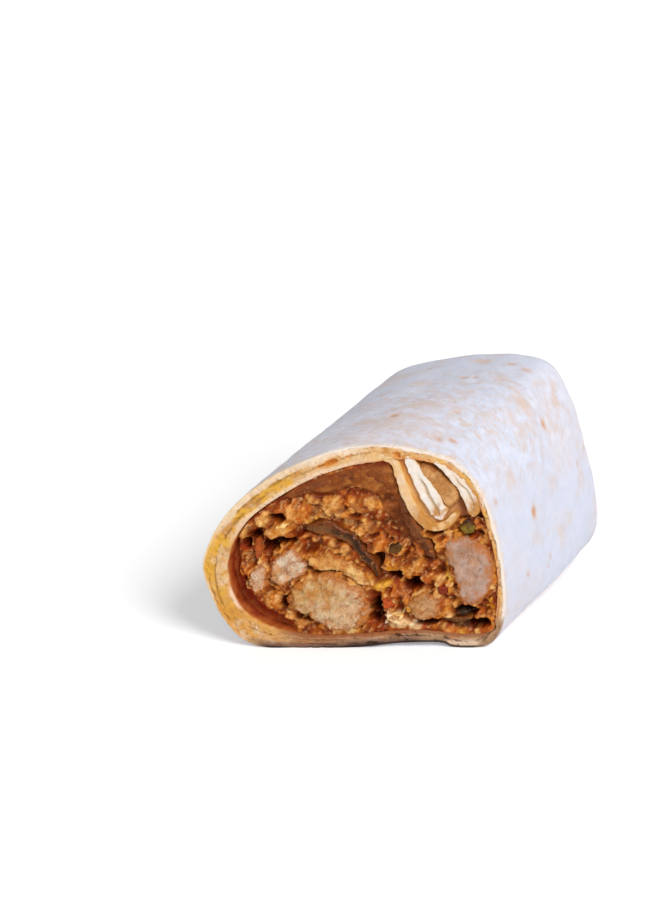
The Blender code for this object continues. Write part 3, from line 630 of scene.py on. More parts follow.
def skin_tone(points):
    """Colours of the outside: pale skin with toasted patches and spots, and painted shade near the floor."""
    x, y, z = points.T
    back = y - cut_y(x, z)
    warm = smooth(0.0, 0.8, fractal(points, 14.0, 3, 11) + 0.15)
    by_cut = smooth(45.0, 15.0, back) * smooth(24.0, -4.0, x)
    stretched = points * (0.42, 1.0, 0.42)
    fibre = fractal(stretched, 1.5, 4, 27, 0.7)
    streak = smooth(0.12, 0.5, fractal(stretched, 3.2, 4, 21, 0.62) + 0.25 * fibre)
    veil = smooth(-0.1, 0.5, fractal(points, 17.0, 2, 33) + 0.2 * smooth(40.0, 52.0, z) + 0.3 * by_cut)
    ripple = fractal(points * (0.5, 1.0, 0.5), 1.1, 4, 29, 0.75)
    upper = smooth(30.0, 48.0, z) * smooth(56.0, 24.0, back)
    coats = [
        (SKIN_WARM, np.clip(0.6 * warm + 0.4 * by_cut, 0.0, 1.0)),
        (TOAST, 0.8 * streak * veil),
        (TOAST, 0.65 * upper * smooth(0.05, 0.4, ripple)),
        (SKIN_PALE, 0.5 * upper * smooth(0.04, 0.35, -ripple)),
        (TOAST, 0.42 * smooth(0.1, 0.5, fractal(points, 5.5, 5, 41, 0.68))),
    ]
    torn = fractal(stretched, 2.6, 4, 51, 0.68)
    for *place, length, width, strength in PATCHES:
        d = points - place
        near = np.exp(-(np.hypot(d[:, 0], d[:, 2]) / length) ** 2 - (d[:, 1] / width) ** 2)
        ragged = near * smooth(-0.15, 0.45, torn + 0.3 * fibre + 0.5 * (near - 0.5))
        coats.append((TOAST, np.clip(1.5 * strength * ragged, 0.0, 0.85)))
    d, _ = distance(points, np.array(RIDGE))
    band = smooth(2.6, 0.0, d + 1.6 * fractal(stretched, 2.6, 4, 57, 0.65)) * smooth(-0.5, 0.3, fibre)
    coats.append((TOAST, 0.4 * band * smooth(20.0, 50.0, z)))
    uneven = 0.35 * rough(points, 0.9, 61)
    for *place, radius, strength in SPOTS:
        d = np.linalg.norm((points - place) * (0.75, 1.25, 0.75), axis=1) + uneven
        coats.append((TOAST, 0.45 * strength * smooth(2.2 * radius, 0.9 * radius, d)))
        coats.append((BROWN_SPOT, strength * smooth(1.0 * radius, 0.5 * radius, d)))
    oiled = smooth(1.6, 0.2, back + 0.8 * fractal(points, 2.2, 3, 71))
    # Warmer and darker low down near the floor: painted shade
    under = smooth(7.0, 0.0, z) * smooth(0.0, 20.0, back)
    return painted(linear(SKIN), *coats, (CREAM, 0.75 * oiled), ((214, 188, 178), 0.55 * under))


def rim_relief(places, from_out, from_in, turn):
    """How far the wall's cut edge lies behind the cut, and each groove's mark with its colour: stain, and
    painted shade in dark slits.
    """
    around = flat(*places.T, 4.0)
    edges = (
        (OUTER_EDGE * (1 + 0.3 * rough(turn, 3.0, 2)), from_out),
        (INNER_EDGE * (1 + 0.5 * rough(turn, 2.4, 9)), from_in),
    )
    back = 0.0
    for edge, from_edge in edges:
        back += edge - np.sqrt(np.maximum(edge ** 2 - np.maximum(edge - from_edge, 0.0) ** 2, 0.0))
    settle = smooth(0.0, 0.7, from_out)
    back += settle * (0.30 * fractal(around, 4.0, 3, 13) + 0.16 * fractal(around, 1.1, 3, 17, 0.7) + 0.18)
    ragged = 0.30 * fractal(around, 1.6, 3, 23)
    marks = []
    for path, half, depth, strength, colour in GROOVES:
        d, s = distance(places, spline(path, 4, closed=False))
        line = flat(s, np.zeros_like(s), half * 50)
        width = half * np.clip(0.45 + 2.2 * fractal(line, 3.6, 3, 19, 0.65), 0.06, 1.8)
        d = d + ragged
        back += settle * depth * smooth(width * 1.25, width * 0.55, d) * np.clip(width / half, 0.15, 1.0)
        # The groove's mark: a stain along the light grooves, painted shade inside the dark slits
        stain = strength * smooth(width * 2.2, width * 0.5, d) * np.clip(0.4 + width / half, 0, 1)
        marks.append((colour, stain))
    pores = smooth(0.52, 0.80, fractal(around, 0.75, 2, 29, 0.5) * 0.5 + 0.5)
    return back + settle * 0.35 * pores, marks


def rim_tone(places, from_out, from_in, turn, marks):
    """Colours of the wall's cut edge, stained by the filling, with painted shade in its slits and low down,
    and its gloss.
    """
    u, v = places.T
    around = flat(u, v, 4.0)
    left = smooth(-4.0, -22.0, u)
    top = smooth(30.0, 44.0, v)
    low = smooth(10.0, 3.0, v)
    stain = 0.34 + 0.62 * left * smooth(5.0, 12.0, v) + 0.12 * smooth(20.0, 34.0, u) + 0.22 * top - 0.1 * low
    patch = fractal(around, 5.0, 4, 31, 0.62)
    fine = fractal(around, 1.5, 3, 35, 0.65)
    layered = within(u, v, spline(GROOVES[0][0], 4, closed=False)) & (u < 9.0)
    layered = layered * smooth(0.0, 0.4, 0.3 + fractal(around, 4.0, 3, 39))
    ochre = smooth(-0.1, 0.7, stain - 0.45 + 0.8 * fractal(around, 2.6, 4, 37, 0.65) + 0.35 * fine)
    yellow = smooth(0.0, 0.55, stain - 0.6 + 0.9 * fractal(around, 3.6, 3, 43) + 0.3 * fine)
    lining = (0.2 + 0.5 * smooth(19.0, 15.0, v)) * smooth(6.0, 10.0, v)
    upper = smooth(26.0, 36.0, v) * smooth(8.0, -4.0, u)
    pale = smooth(2.3, 1.2, from_out + 0.9 * patch + 0.5 * fine)
    pale = pale + 0.8 * smooth(1.5, 0.7, from_in + 0.6 * patch)
    tone = painted(
        linear(BREAD),
        (CREAM, smooth(-0.6, 0.2, patch + stain - 0.4)),
        (OCHRE, 0.8 * ochre * (1 - 0.4 * layered)),
        (YELLOW, 0.8 * yellow * (1 - 0.6 * layered)),
        ((214, 184, 144), 0.45 * layered * left * smooth(10.0, 22.0, v)),
        ((222, 190, 150), 0.7 * smooth(0.1, 0.5, fractal(around, 3.0, 4, 53, 0.65)) * left),
        ((166, 116, 58), 0.6 * smooth(0.2, 0.6, fractal(around, 2.0, 4, 59, 0.65)) * left),
        ((212, 164, 122), lining * left * smooth(1.1, 0.4, from_in + 0.8 * patch)),
        (ORANGE, 0.5 * smooth(1.0, 0.1, from_in + 1.2 * patch + 0.6 * left)),
        ((226, 204, 178), 0.8 * upper * np.clip(pale, 0.0, 1.0)),
    )
    edge = painted(linear(WHITE_EDGE), ((224, 198, 160), left))
    tone = blend(tone, edge, 0.9 * smooth(0.85, 0.25, from_out + 0.5 * patch))
    corner = smooth(15.0, 11.0, v + 2.0 * patch) * smooth(-14.0, -19.0, u + 2.0 * patch)
    torn = left * smooth(0.8, 0.4, from_in + 0.5 * fine) * smooth(17.5, 16.0, v) * smooth(10.0, 11.5, v)
    veined = smooth(0.10, 0.02, abs(fractal(turn + from_in[:, None], 1.3, 3, 63, 0.65)))
    middle = smooth(9.0, 6.0, v) * smooth(-22.0, -14.0, u)
    paler = smooth(9.0, 6.0, v) * smooth(12.0, 19.0, u)
    ruffle = smooth(2.6, 1.6, v + 0.4 * fine) * smooth(22.5, 24.5, u) * smooth(34.0, 31.5, u)
    # Where painted shade darkens the wall towards the floor, and where a painted contact shadow runs along
    # its lowest edge
    low = low * smooth(-30.0, -20.0, u) * ((1 - ruffle) * (1 - 0.7 * smooth(13.0, 20.0, u)))
    shade = smooth(0.85, 0.45, from_out + 0.3 * patch) * smooth(3.6, 2.4, v)
    shade = shade * smooth(-26.0, -20.0, u) * smooth(35.0, 31.0, u)
    tone = painted(
        tone,
        ((204, 140, 50), 0.75 * corner * smooth(-0.6, 0.2, fine)),
        ((234, 202, 174), 0.7 * torn * smooth(-0.5, 0.2, patch)),
        ((176, 128, 66), 0.35 * veined * (left + top) * (1 - 0.5 * upper)),
        # the grooves' marks: stains, and painted shade in the dark slits
        *marks,
        ((158, 104, 64), 0.85 * middle * smooth(-0.9, -0.1, fine)),
        ((176, 142, 108), 0.75 * paler * smooth(-0.8, 0.1, patch + 0.5 * fine)),
        ((134, 68, 24), 0.7 * middle * smooth(1.0, 0.3, from_in + 0.6 * fine)),
        ((216, 188, 162), 0.8 * ruffle),
        # painted shade low on the wall towards the floor, then a painted contact shadow along its bottom edge
        ((118, 86, 68), 0.85 * low * smooth(2.4, 1.2, from_out + 0.6 * patch)),
        ((84, 58, 46), 0.7 * low * smooth(1.4, 0.5, from_out + 0.6 * patch)),
        ((40, 22, 12), 0.95 * shade),
    )
    return tone, 0.2 + 0.35 * stain


def rim():
    """The cut edge of the wall, from its outer edge to its inner one, and the wall's inside behind it,
    darkening with painted shade as it runs back.
    """
    outer, inner = (spline(loop, RIM_STEPS) for loop in (OUTER_AT_CUT, INNER_AT_CUT))
    count = len(outer)
    across = np.linspace(0.0, 1.0, RIM_ROWS)[:, None]
    places = np.stack([outer[:, k] + (inner - outer)[:, k] * across for k in (0, 1)], -1).reshape(-1, 2)
    (from_out, along), (from_in, _) = (distance(places, as_path(loop[::6])) for loop in (outer, inner))
    turn = flat(np.cos(along / 34.0) * 30.0, np.sin(along / 34.0) * 30.0)
    back, marks = rim_relief(places, from_out, from_in, turn)
    tone, gloss = rim_tone(places, from_out, from_in, turn, marks)
    points = behind(*places.T, back)
    points[:count] = behind(*outer.T, OUTER_EDGE)
    rows, tones, glosses = [points], [tone], [gloss]
    sauced = smooth(6.0, -10.0, inner[:, 0]) * smooth(44.0, 34.0, inner[:, 1])
    side = painted(linear(OCHRE), (SAUCE, np.clip(sauced + 0.25, 0.0, 1.0)))
    # The colour that the wall's inside darkens to the farther it runs behind the cut: painted shade
    dark = painted(linear(SAUCE_IN_SHADE), (SAUCE_RED, sauced))
    for back in WALL_BACKS:
        uneven = 0.3 * fractal(flat(*inner.T, back), 3.0, 2, 47) * min(back / 3.0, 1.0)
        rows.append(inwards(*(inner + normals(inner) * uneven[:, None]).T, back))
        mottle = fractal(flat(*inner.T, 2.0 * back), 2.2, 4, 61, 0.7)
        tones.append(blend(side, dark, np.clip(back / 4.0 + 0.6 * mottle, 0.0, 0.9)))
        glosses.append(np.full(count, 0.8))
    return np.vstack(rows), np.vstack(tones), np.concatenate(glosses)


def make_tortilla():
    """The rolled sheet: its outside with the folded end, its cut edge and the inside of its wall."""
    skin = skin_rows()
    rows, columns = skin.shape[:2]
    away = (skin - (END_CENTRE[0], 0.0, END_CENTRE[1])) * (1.0, 0.0, 1.0)
    away[:DOME_ROWS, :, 1] = np.linspace(40.0, 4.0, DOME_ROWS)[:, None]
    away /= np.linalg.norm(away, axis=2, keepdims=True)
    away = away.reshape(-1, 3)
    points = swollen(skin.reshape(-1, 3), away)
    back = points[:, 1] - cut_y(points[:, 0], points[:, 2])
    for *place, radius, strength in SPOTS:
        d = np.linalg.norm(points - place, axis=1)
        ring = 0.16 * np.exp(-((d - 1.5 * radius) / (0.6 * radius)) ** 2) - 0.22 * np.exp(-(d / radius) ** 2)
        points += away * (strength * ring)[:, None]
    d, _ = distance(points, np.array(RIDGE))
    points += away * (0.4 * np.exp(-(d / 1.6) ** 2))[:, None]
    wrinkle = fractal(points * (0.3, 1.0, 0.3), 1.5, 2, 81)
    wrinkle = wrinkle * smooth(34.0, 6.0, back) * smooth(20.0, 40.0, points[:, 2])
    points += away * (0.10 * wrinkle * smooth(0.0, 2.0, back))[:, None]
    points[:, 2] = np.maximum(points[:, 2], 0.0)
    faces = grid_faces(rows, columns, closed=True)
    faces.append([*range(columns)][::-1])
    rim_points, rim_tones, rim_gloss = rim()
    first = len(points)
    last_row = first - columns
    round_rim = 2 * columns
    for j in range(columns):
        k = (j + 1) % columns
        rim_edge = [first + (2 * j + 2) % round_rim, first + 2 * j + 1, first + 2 * j]
        faces.append([last_row + j, last_row + k, *rim_edge])
    faces += grid_faces(len(rim_points) // round_rim, round_rim, closed=True, first=first)
    piece("tortilla_roll", np.vstack([points, rim_points]), faces, np.vstack([skin_tone(points), rim_tones]),
          np.concatenate([np.full(len(points), 0.12), rim_gloss]), ["tortilla"], TORTILLA)


def make_fold(name, path, widths, groove, whiteness):
    """A folded layer of tortilla seen edge-on at the cut, with its sides running into the roll."""
    line = spline(path, 20, closed=False)
    s, side = along_line(line)
    total = s[-1]
    width = np.interp(s / total, *np.array(widths).T)
    marks = flat(s, np.zeros_like(s), path[0][0])
    line = line + side * (0.22 * fractal(marks, 3.5, 3, 3))[:, None]
    tip = np.sqrt(np.clip(np.minimum(s, total - s) / (0.5 * width), 0.0, 1.0))
    half = 0.5 * width * (1 + 0.22 * fractal(marks, 2.6, 4, 7, 0.65)) * np.maximum(tip, 0.03)
    rows, tones, glosses = [], [], []

    def wall(which, back):
        uneven = 1 + 0.15 * rough(flat(s, np.full_like(s, back)), 2.2, 5)
        rows.append(inwards(*(line + side * (which * half * uneven)[:, None]).T, back))
        stain = smooth(-0.3, 0.5, rough(marks, 3.0, 15) + 0.25 * back)
        tones.append(painted(linear(CREAM), (OCHRE, stain), (ORANGE, np.full(len(s), min(back / 8.0, 0.8)))))
        glosses.append(0.5)

    for back in FOLD_BACKS:
        wall(-1.0, back)
    for w in np.linspace(-1.0, 1.0, 25):
        u, v = (line + side * (w * half)[:, None]).T
        edge = 0.35 * (1.0 - np.sqrt(max(1.0 - abs(w) ** 6.0, 0.0)))
        spot = flat(u, v, 8.0)
        back = edge + 0.25 + 0.3 * fractal(marks, 5.0, 3, 27) + 0.22 * fractal(spot, 1.0, 3, 33, 0.7)
        opened = smooth(0.28, 0.08, abs(w - 0.3 * rough(marks, 3.0, 51))) * groove
        opened = opened * smooth(0.28, 0.45, s / total) * smooth(0.98, 0.86, s / total)
        opened = opened * smooth(-0.5, 0.1, rough(marks, 5.0, 57) + 0.35)
        rows.append(behind(u, v, back + 0.4 * opened))
        patch = fractal(spot, 2.4, 4, 45, 0.62)
        browned = smooth(0.54, 0.74, s / total - 0.16 * whiteness + 0.15 * patch)
        tones.append(painted(
            linear(CREAM),
            (WHITE_EDGE, np.clip(whiteness + 0.6 * patch, 0.0, 1.0)),
            (YELLOW, 0.6 * smooth(0.74, 1.0, abs(w) + 0.2 * patch) * (1 - 0.5 * whiteness)),
            ((182, 122, 48), 0.95 * (browned * smooth(-0.7, 0.1, fractal(spot, 1.6, 3, 49)))),
            # a tan line where the layers part: painted shade in the slit
            ((176, 138, 88), 0.75 * opened),
        ))
        glosses.append(0.25)
    for back in FOLD_BACKS[::-1]:
        wall(1.0, back)
    piece(name, np.vstack(rows), grid_faces(len(rows), len(s)), np.vstack(tones),
          np.repeat(glosses, len(s)), ["tortilla"], TORTILLA)


def sheet_over(keep, step, box):
    """A grid of places over a box on the cut, which of them are kept, and the quads between those."""
    u, v = np.meshgrid(np.arange(box[0], box[1], step), np.arange(box[2], box[3], step))
    kept = keep(u.ravel(), v.ravel())
    quads = np.array(grid_faces(*u.shape))
    quads = quads[kept[quads].all(axis=1)]
    used = np.unique(quads)
    number = np.zeros(u.size, int)
    number[used] = np.arange(len(used))
    return u, v, used, number[quads].tolist()


def pocket_loop():
    """Round the pocket between the inner fold and the wall."""
    return np.vstack([spline(INNER_FOLD, 4, closed=False), POCKET_EDGE])


def make_lining():
    """The stained layer that lines the pocket between the folds, with painted shade where it sinks on the
    right.
    """
    inner = spline(INNER_AT_CUT, 4)
    room = inner + normals(inner) * 1.0
    pocket = pocket_loop()
    low_right = pocket - (0.0, 2.5)
    u, v, used, faces = sheet_over(
        lambda a, b: within(a, b, room) & (within(a, b, pocket) | (within(a, b, low_right) & (a > 26.0))),
        LINING_STEP, LINING_BOX)
    u, v = u.ravel()[used], v.ravel()[used]
    from_fold, _ = distance(np.stack([u, v], -1), spline(INNER_FOLD, 4, closed=False))
    spot = flat(u, v, 2.0)
    back = 0.7 + 0.30 * np.minimum(from_fold, 6.0) + 0.35 * fractal(spot, 3.0, 3, 3)
    back += 1.4 * smooth(19.0, 24.0, u)
    patch = fractal(spot, 3.5, 3, 9, 0.6)
    tone = painted(
        linear((206, 150, 92)),
        ((204, 138, 58), smooth(-0.4, 0.4, patch)),
        ((180, 104, 34), 0.8 * smooth(45.5, 50.0, v + 2.0 * patch)),
        ((204, 154, 100), 0.7 * smooth(16.0, 19.0, u)),
        # darker where the lining sinks on the right: painted shade
        ((140, 62, 24), 0.85 * smooth(24.5, 27.0, u + patch) * smooth(46.0, 41.0, v)),
    )
    piece("pocket_lining", behind(u, v, back), faces, tone, 0.5, ["tortilla"], TORTILLA)


# ---- the filling ----

FILLING_STEP = 0.18                 # between places on the filling's face
FILLING_BOX = (-36, 39, 2, 53)      # from and to in u, then in v
FIRST_CRUMBS = 330
LAST_CRUMBS = 150
PITS = 120
LOOSE_SHREDS = 16
# Shreds of chicken: middle, length, turn in degrees and tone
SHREDS = (
    ((10.0, 4.6), 3.4, 10, "white"), ((13.0, 4.8), 3.0, -20, "pale"), ((15.4, 6.6), 3.0, 25, "white"),
    ((8.4, 7.2), 3.0, 60, "white"), ((9.0, 8.6), 4.2, 20, "white"), ((11.2, 7.0), 5.0, -15, "white"),
    ((13.6, 6.4), 4.0, 35, "white"), ((10.2, 5.9), 3.6, 5, "white"), ((14.8, 8.0), 3.4, -50, "white"),
    ((12.4, 9.4), 3.6, 70, "pale"), ((-23.0, 36.4), 4.6, 40, "pale"), ((-18.2, 33.4), 4.2, 20, "pale"),
    ((-27.2, 33.0), 3.8, 70, "pale"), ((-20.6, 10.4), 4.0, -60, "orange"), ((34.6, 12.0), 3.6, 60, "yellow"),
    ((25.0, 16.6), 3.4, 80, "gold"),
)


def heap(u, v, warp_u, warp_v, spot, shape):
    """Lumps and crumbs piled on the cut. Of each place: how far it lies behind the cut, the kind of its lump,
    how near that lump's rim it is, how much lighter it is, and how much of it is bare onion."""
    back = 2.2 + 0.9 * fractal(spot, 3.0, 3, 15)
    kind = np.full(len(u), KINDS.index("base"))
    rim = np.ones(len(u))
    shift = 0.3 * fractal(spot, 2.4, 3, 35)
    film = np.array(FILM)

    def add(cu, cv, ru, rv, turn, top, name, height):
        reach = 1.25 * max(ru, rv) + 1.5
        near = np.nonzero((abs(u - cu) < reach) & (abs(v - cv) < reach))[0]
        along, across = turned(warp_u[near] - cu, warp_v[near] - cv, math.radians(turn))
        r = np.hypot(along / ru, across / rv)
        near, r = near[r < 1.0], r[r < 1.0]
        depth = top + height * (1.0 - np.sqrt(1.0 - r ** 2.4))
        upper = depth < back[near]
        near, r, depth = near[upper], r[upper], depth[upper]
        back[near] = depth
        kind[near] = KINDS.index(name)
        rim[near] = r
        shift[near] = 0.25 * math.sin(37.0 * cu + 11.0 * cv)

    def crumbs(count, names, least, most, low, high, height, rise):
        """Scattered crumbs, none of them on the bare onion."""
        dice = RNG.random((count, 8))
        places = np.stack([-34 + 72 * dice[:, 0], 3 + rise * dice[:, 1]], -1)
        bare = within(*places.T, film)
        for _, _, width, path in ONION:
            bare |= distance(places, np.array(path))[0] < 0.5 * width
        for (cu, cv), k in zip(places[~bare], dice[~bare]):
            size = least + (most - least) * k[2] ** 1.5
            add(cu, cv, size * (0.8 + k[3]), size, 180 * k[4], low + (high - low) * k[5],
                names[int(k[6] * len(names))], height)

    names = ("orange", "gold", "amber", "orange", "gold", "amber", "red")
    crumbs(FIRST_CRUMBS, names, 1.0, 2.8, 1.0, 2.6, 1.4, 48.0)
    for lump in LUMPS:
        add(*lump, 1.8)
    filmed = blurred(within(u, v, film).reshape(shape).astype(float), 3.0).ravel()
    filmed = smooth(0.4, 0.6, filmed + 0.25 * fractal(spot, 1.8, 4, 83, 0.7))
    back += (1.2 + 0.6 * fractal(spot, 5.0, 3, 85) - back) * filmed
    covered = filmed > 0.5
    kind[covered] = KINDS.index("film")
    lighter = 0.3 - 1.1 * smooth(3.0, 9.0, u) * smooth(45.0, 39.0, v) - 0.5 * smooth(0.0, -14.0, u)
    shift[covered] = lighter[covered]
    rim[covered] = 0.0
    crumbs(LAST_CRUMBS, ("orange", "gold", "pale", "orange", "gold"), 0.5, 1.3, 0.4, 1.8, 0.9, 36.0)
    for name, _, _, path in ONION[1:3]:
        line = spline(path, 10, closed=False)
        for place, k in zip(line, RNG.random((len(line), 6))):
            if name == "onion_right" and place[1] > 31.0:
                continue
            above = k[1] < 0.5 and place[0] > 0.0
            half = 0.5 * ONION_WIDTHS["onion_middle"] * (1.0 + 0.4 * k[5])
            size = 0.5 + 0.8 * k[0]
            add(*(place + (0.7 if above else -0.7) * half), size * 1.3, size, 180 * k[3], -0.3 + 0.8 * k[4],
                ("orange", "gold", "brown", "amber")[int(k[2] * 4)], 1.2)
    for _, _, proud, outline in CHICKEN[:-1] + PEPPER[1:]:
        loop = spline(outline, 7)
        for place, k in zip(loop, RNG.random((len(loop), 6))):
            size = 0.5 + 0.8 * k[0] ** 1.5 * (len(outline) > 5)
            if k[5] < 0.8:
                add(*(place + 1.2 * (k[1:3] - 0.5)), size * 1.3, size, 180 * k[3], 0.35 - proud + 0.8 * k[4],
                    ("orange", "gold", "pale", "amber")[int(k[5] * 5)], 1.2)
    return back, kind, rim, shift, filmed


def lump_field(u, v):
    """Depth of the filling behind a grid of places on the cut, its colours with painted light and shade, and
    its gloss.
    """
    shape = u.shape
    u, v = u.ravel(), v.ravel()
    spot = flat(u, v)
    warp_u, warp_v = (
        value + 0.75 * fractal(spot, 2.3, 4, seed, 0.65) + 0.30 * fractal(spot, 0.8, 3, seed + 2, 0.7)
        for value, seed in ((u, 5), (v, 105)))
    back, kind, rim, shift, filmed = heap(u, v, warp_u, warp_v, spot, shape)

    # Relief and colours of the lumps, lighter on their tops and darker at their rims: painted highlight and
    # shade
    settled = np.isin(kind, SMOOTH_KINDS)
    coarse, crack = crumble(u, v, 2.3, 41)
    craggy = smooth(-0.35, 0.45, fractal(spot, 6.0, 2, 95))
    stain = fractal(spot, 2.4, 5, 55, 0.72)
    # How light each place is: its lump's own tone and stains, plus painted highlight on high relief and
    # painted shade at rims
    height = 0.56 + (0.22 + 0.30 * craggy) * coarse - 0.35 * rim ** 3 + shift + 0.8 * stain
    calm = 0.5 + 1.0 * fractal(spot * (0.6, 1.0, 1.0), 2.4, 4, 49, 0.65) + 0.6 * shift
    height = np.where(settled, calm, height)
    back = blurred(back.reshape(shape), 1.6).ravel()
    back -= np.where(settled, 0.12, 0.25 + 0.35 * craggy) * coarse + np.where(settled, 0.0, 0.35) * stain
    tone = np.zeros((len(u), 3))
    for number, colours in enumerate(TONES.values()):
        mine = kind == number
        tone[mine] = three_tones(colours, height[mine])
    valley = 0.7 * crack * craggy + 0.7 * smooth(0.2, 0.7, -coarse) + 0.8 * smooth(0.8, 1.0, rim)
    valley = np.clip(valley, 0.0, 1.0)
    valley *= np.where(settled, 0.15, 0.8) * smooth(-0.5, 0.2, fractal(spot, 3.0, 3, 97))
    # Red-brown in the cracks and hollows: sauce that lies there, and painted shade
    tone = painted(tone, ((132, 46, 8), 0.65 * valley))

    # Gaps and scattered pits, sunk and painted dark: painted shade in the holes
    ragged = 0.35 * fractal(spot, 1.4, 4, 107, 0.75)
    for cu, cv, ru, rv in GAPS:
        r = np.hypot((warp_u - cu) / ru, (warp_v - cv) / rv) + ragged
        back += 3.4 * smooth(1.4, 0.7, r)
        tone = painted(tone, (SAUCE_IN_SHADE, 0.95 * smooth(1.4, 1.0, r)))
    pits = RNG.random((PITS, 4)) * (70.0, 36.0, 0.45, math.pi) + (-33.0, 5.0, 0.3, 0.0)
    film = np.array(FILM)
    bare = within(*pits[:, :2].T, film) | (distance(pits[:, :2], as_path(film))[0] < 1.6)
    for cu, cv, size, turn in pits[~bare]:
        along, across = turned(warp_u - cu, warp_v - cv, turn)
        r = np.hypot(along / 2.2, across) / size + ragged
        back += 0.8 * smooth(1.3, 0.6, r)
        tone = painted(tone, ((100, 32, 8), 0.7 * smooth(1.4, 0.9, r)))

    # Along the wall: sauce in the gutter on the left, and the filling close against the rest
    from_wall, _ = distance(np.stack([u, v], -1), as_path(spline(INNER_AT_CUT, 3)))
    width = np.interp(v, *np.array(GUTTER_WIDTHS).T) * (1 + 0.35 * fractal(spot, 3.0, 3, 77))
    share = from_wall / np.maximum(width, 0.1)
    gutter = np.clip(1.0 - share ** 2, 0.0, 1.0) * smooth(-14.0, -19.0, u)
    hug = smooth(2.4, 0.5, from_wall + 0.8 * fractal(spot, 3.0, 3, 65)) * smooth(0.3, 0.0, gutter)
    back += (0.9 - back) * hug
    in_gutter = smooth(0.12, 0.4, gutter)
    back += (1.6 + 0.5 * stain + GUTTER_DEPTH * gutter - back) * in_gutter
    streaked = fractal(spot * (1.0, 0.45, 1.0), 1.6, 4, 79, 0.7)
    tone = painted(
        tone,
        # painted shade on the onion film where it runs under the wall
        ((112, 42, 18), 0.6 * (filmed * smooth(2.6, 1.2, from_wall + 0.8 * stain))),
        ((206, 132, 62), 0.6 * (filmed * smooth(0.34, 0.46, fractal(spot, 1.1, 5, 141, 0.8)))),
        ((176, 82, 34), 0.9 * in_gutter),
        (SAUCE_RED, 0.9 * in_gutter * smooth(0.10, 0.65, share + 0.5 * streaked)),
        ((190, 104, 44), 0.5 * in_gutter * smooth(0.15, 0.5, -streaked)),
        # painted shade: darker the deeper the filling lies behind the cut
        (SAUCE_IN_SHADE, 0.75 * (smooth(1.9, 4.8, back) * (1 - 0.7 * in_gutter))),
    )
    gloss = np.maximum(0.4 + 0.2 * valley + 0.3 * settled, 0.5 * in_gutter)

    # Soft edges between the lumps, steep slopes in painted shade, and a fine grit with painted highlight and
    # shade
    back = blurred(back.reshape(shape), 0.8).ravel()
    tone = blurred(tone.reshape(*shape, 3), 1.0).reshape(-1, 3)
    steep = np.hypot(*np.gradient(back.reshape(shape), FILLING_STEP)).ravel()
    # painted shade on steep slopes
    tone = tone * (1 - smooth(1.2, 2.8, steep)[:, None] * (0.42, 0.60, 0.72))
    vein = smooth(0.09, 0.02, abs(fractal(spot, 2.0, 4, 131, 0.7)))
    grit = fractal(spot, 0.9, 4, 91, 0.8) * np.where(settled, 0.4, 1.0) * (1 - 0.6 * in_gutter)
    grit *= 1 - 0.8 * smooth(0.8, 2.2, steep)
    tone = painted(
        tone,
        ((140, 48, 8), 0.5 * vein * np.where(settled, 0.3, 1.0) * (1 - in_gutter)),
        # painted highlights on the grit's grains and painted shade between them
        ((238, 190, 126), 0.5 * smooth(0.05, 0.6, grit)),
        ((108, 36, 4), 0.55 * smooth(0.05, 0.6, -grit)),
    )
    return back - 0.12 * grit, tone, np.clip(gloss, 0.0, 1.0)


def make_filling():
    """The filling's cut face; gives its places on the cut and how far behind it each lies."""
    inner = spline(INNER_AT_CUT, 4)
    room = inner + normals(inner) * 0.5
    pocket = pocket_loop()
    u, v, used, faces = sheet_over(
        lambda a, b: within(a, b, room) & ~within(a, b, pocket), FILLING_STEP, FILLING_BOX)
    back, tone, gloss = (field[used] for field in lump_field(u, v))
    u, v = u.ravel()[used], v.ravel()[used]
    piece("filling_face", behind(u, v, back), faces, tone, gloss, ["filling"], STUFFING)
    return u, v, back


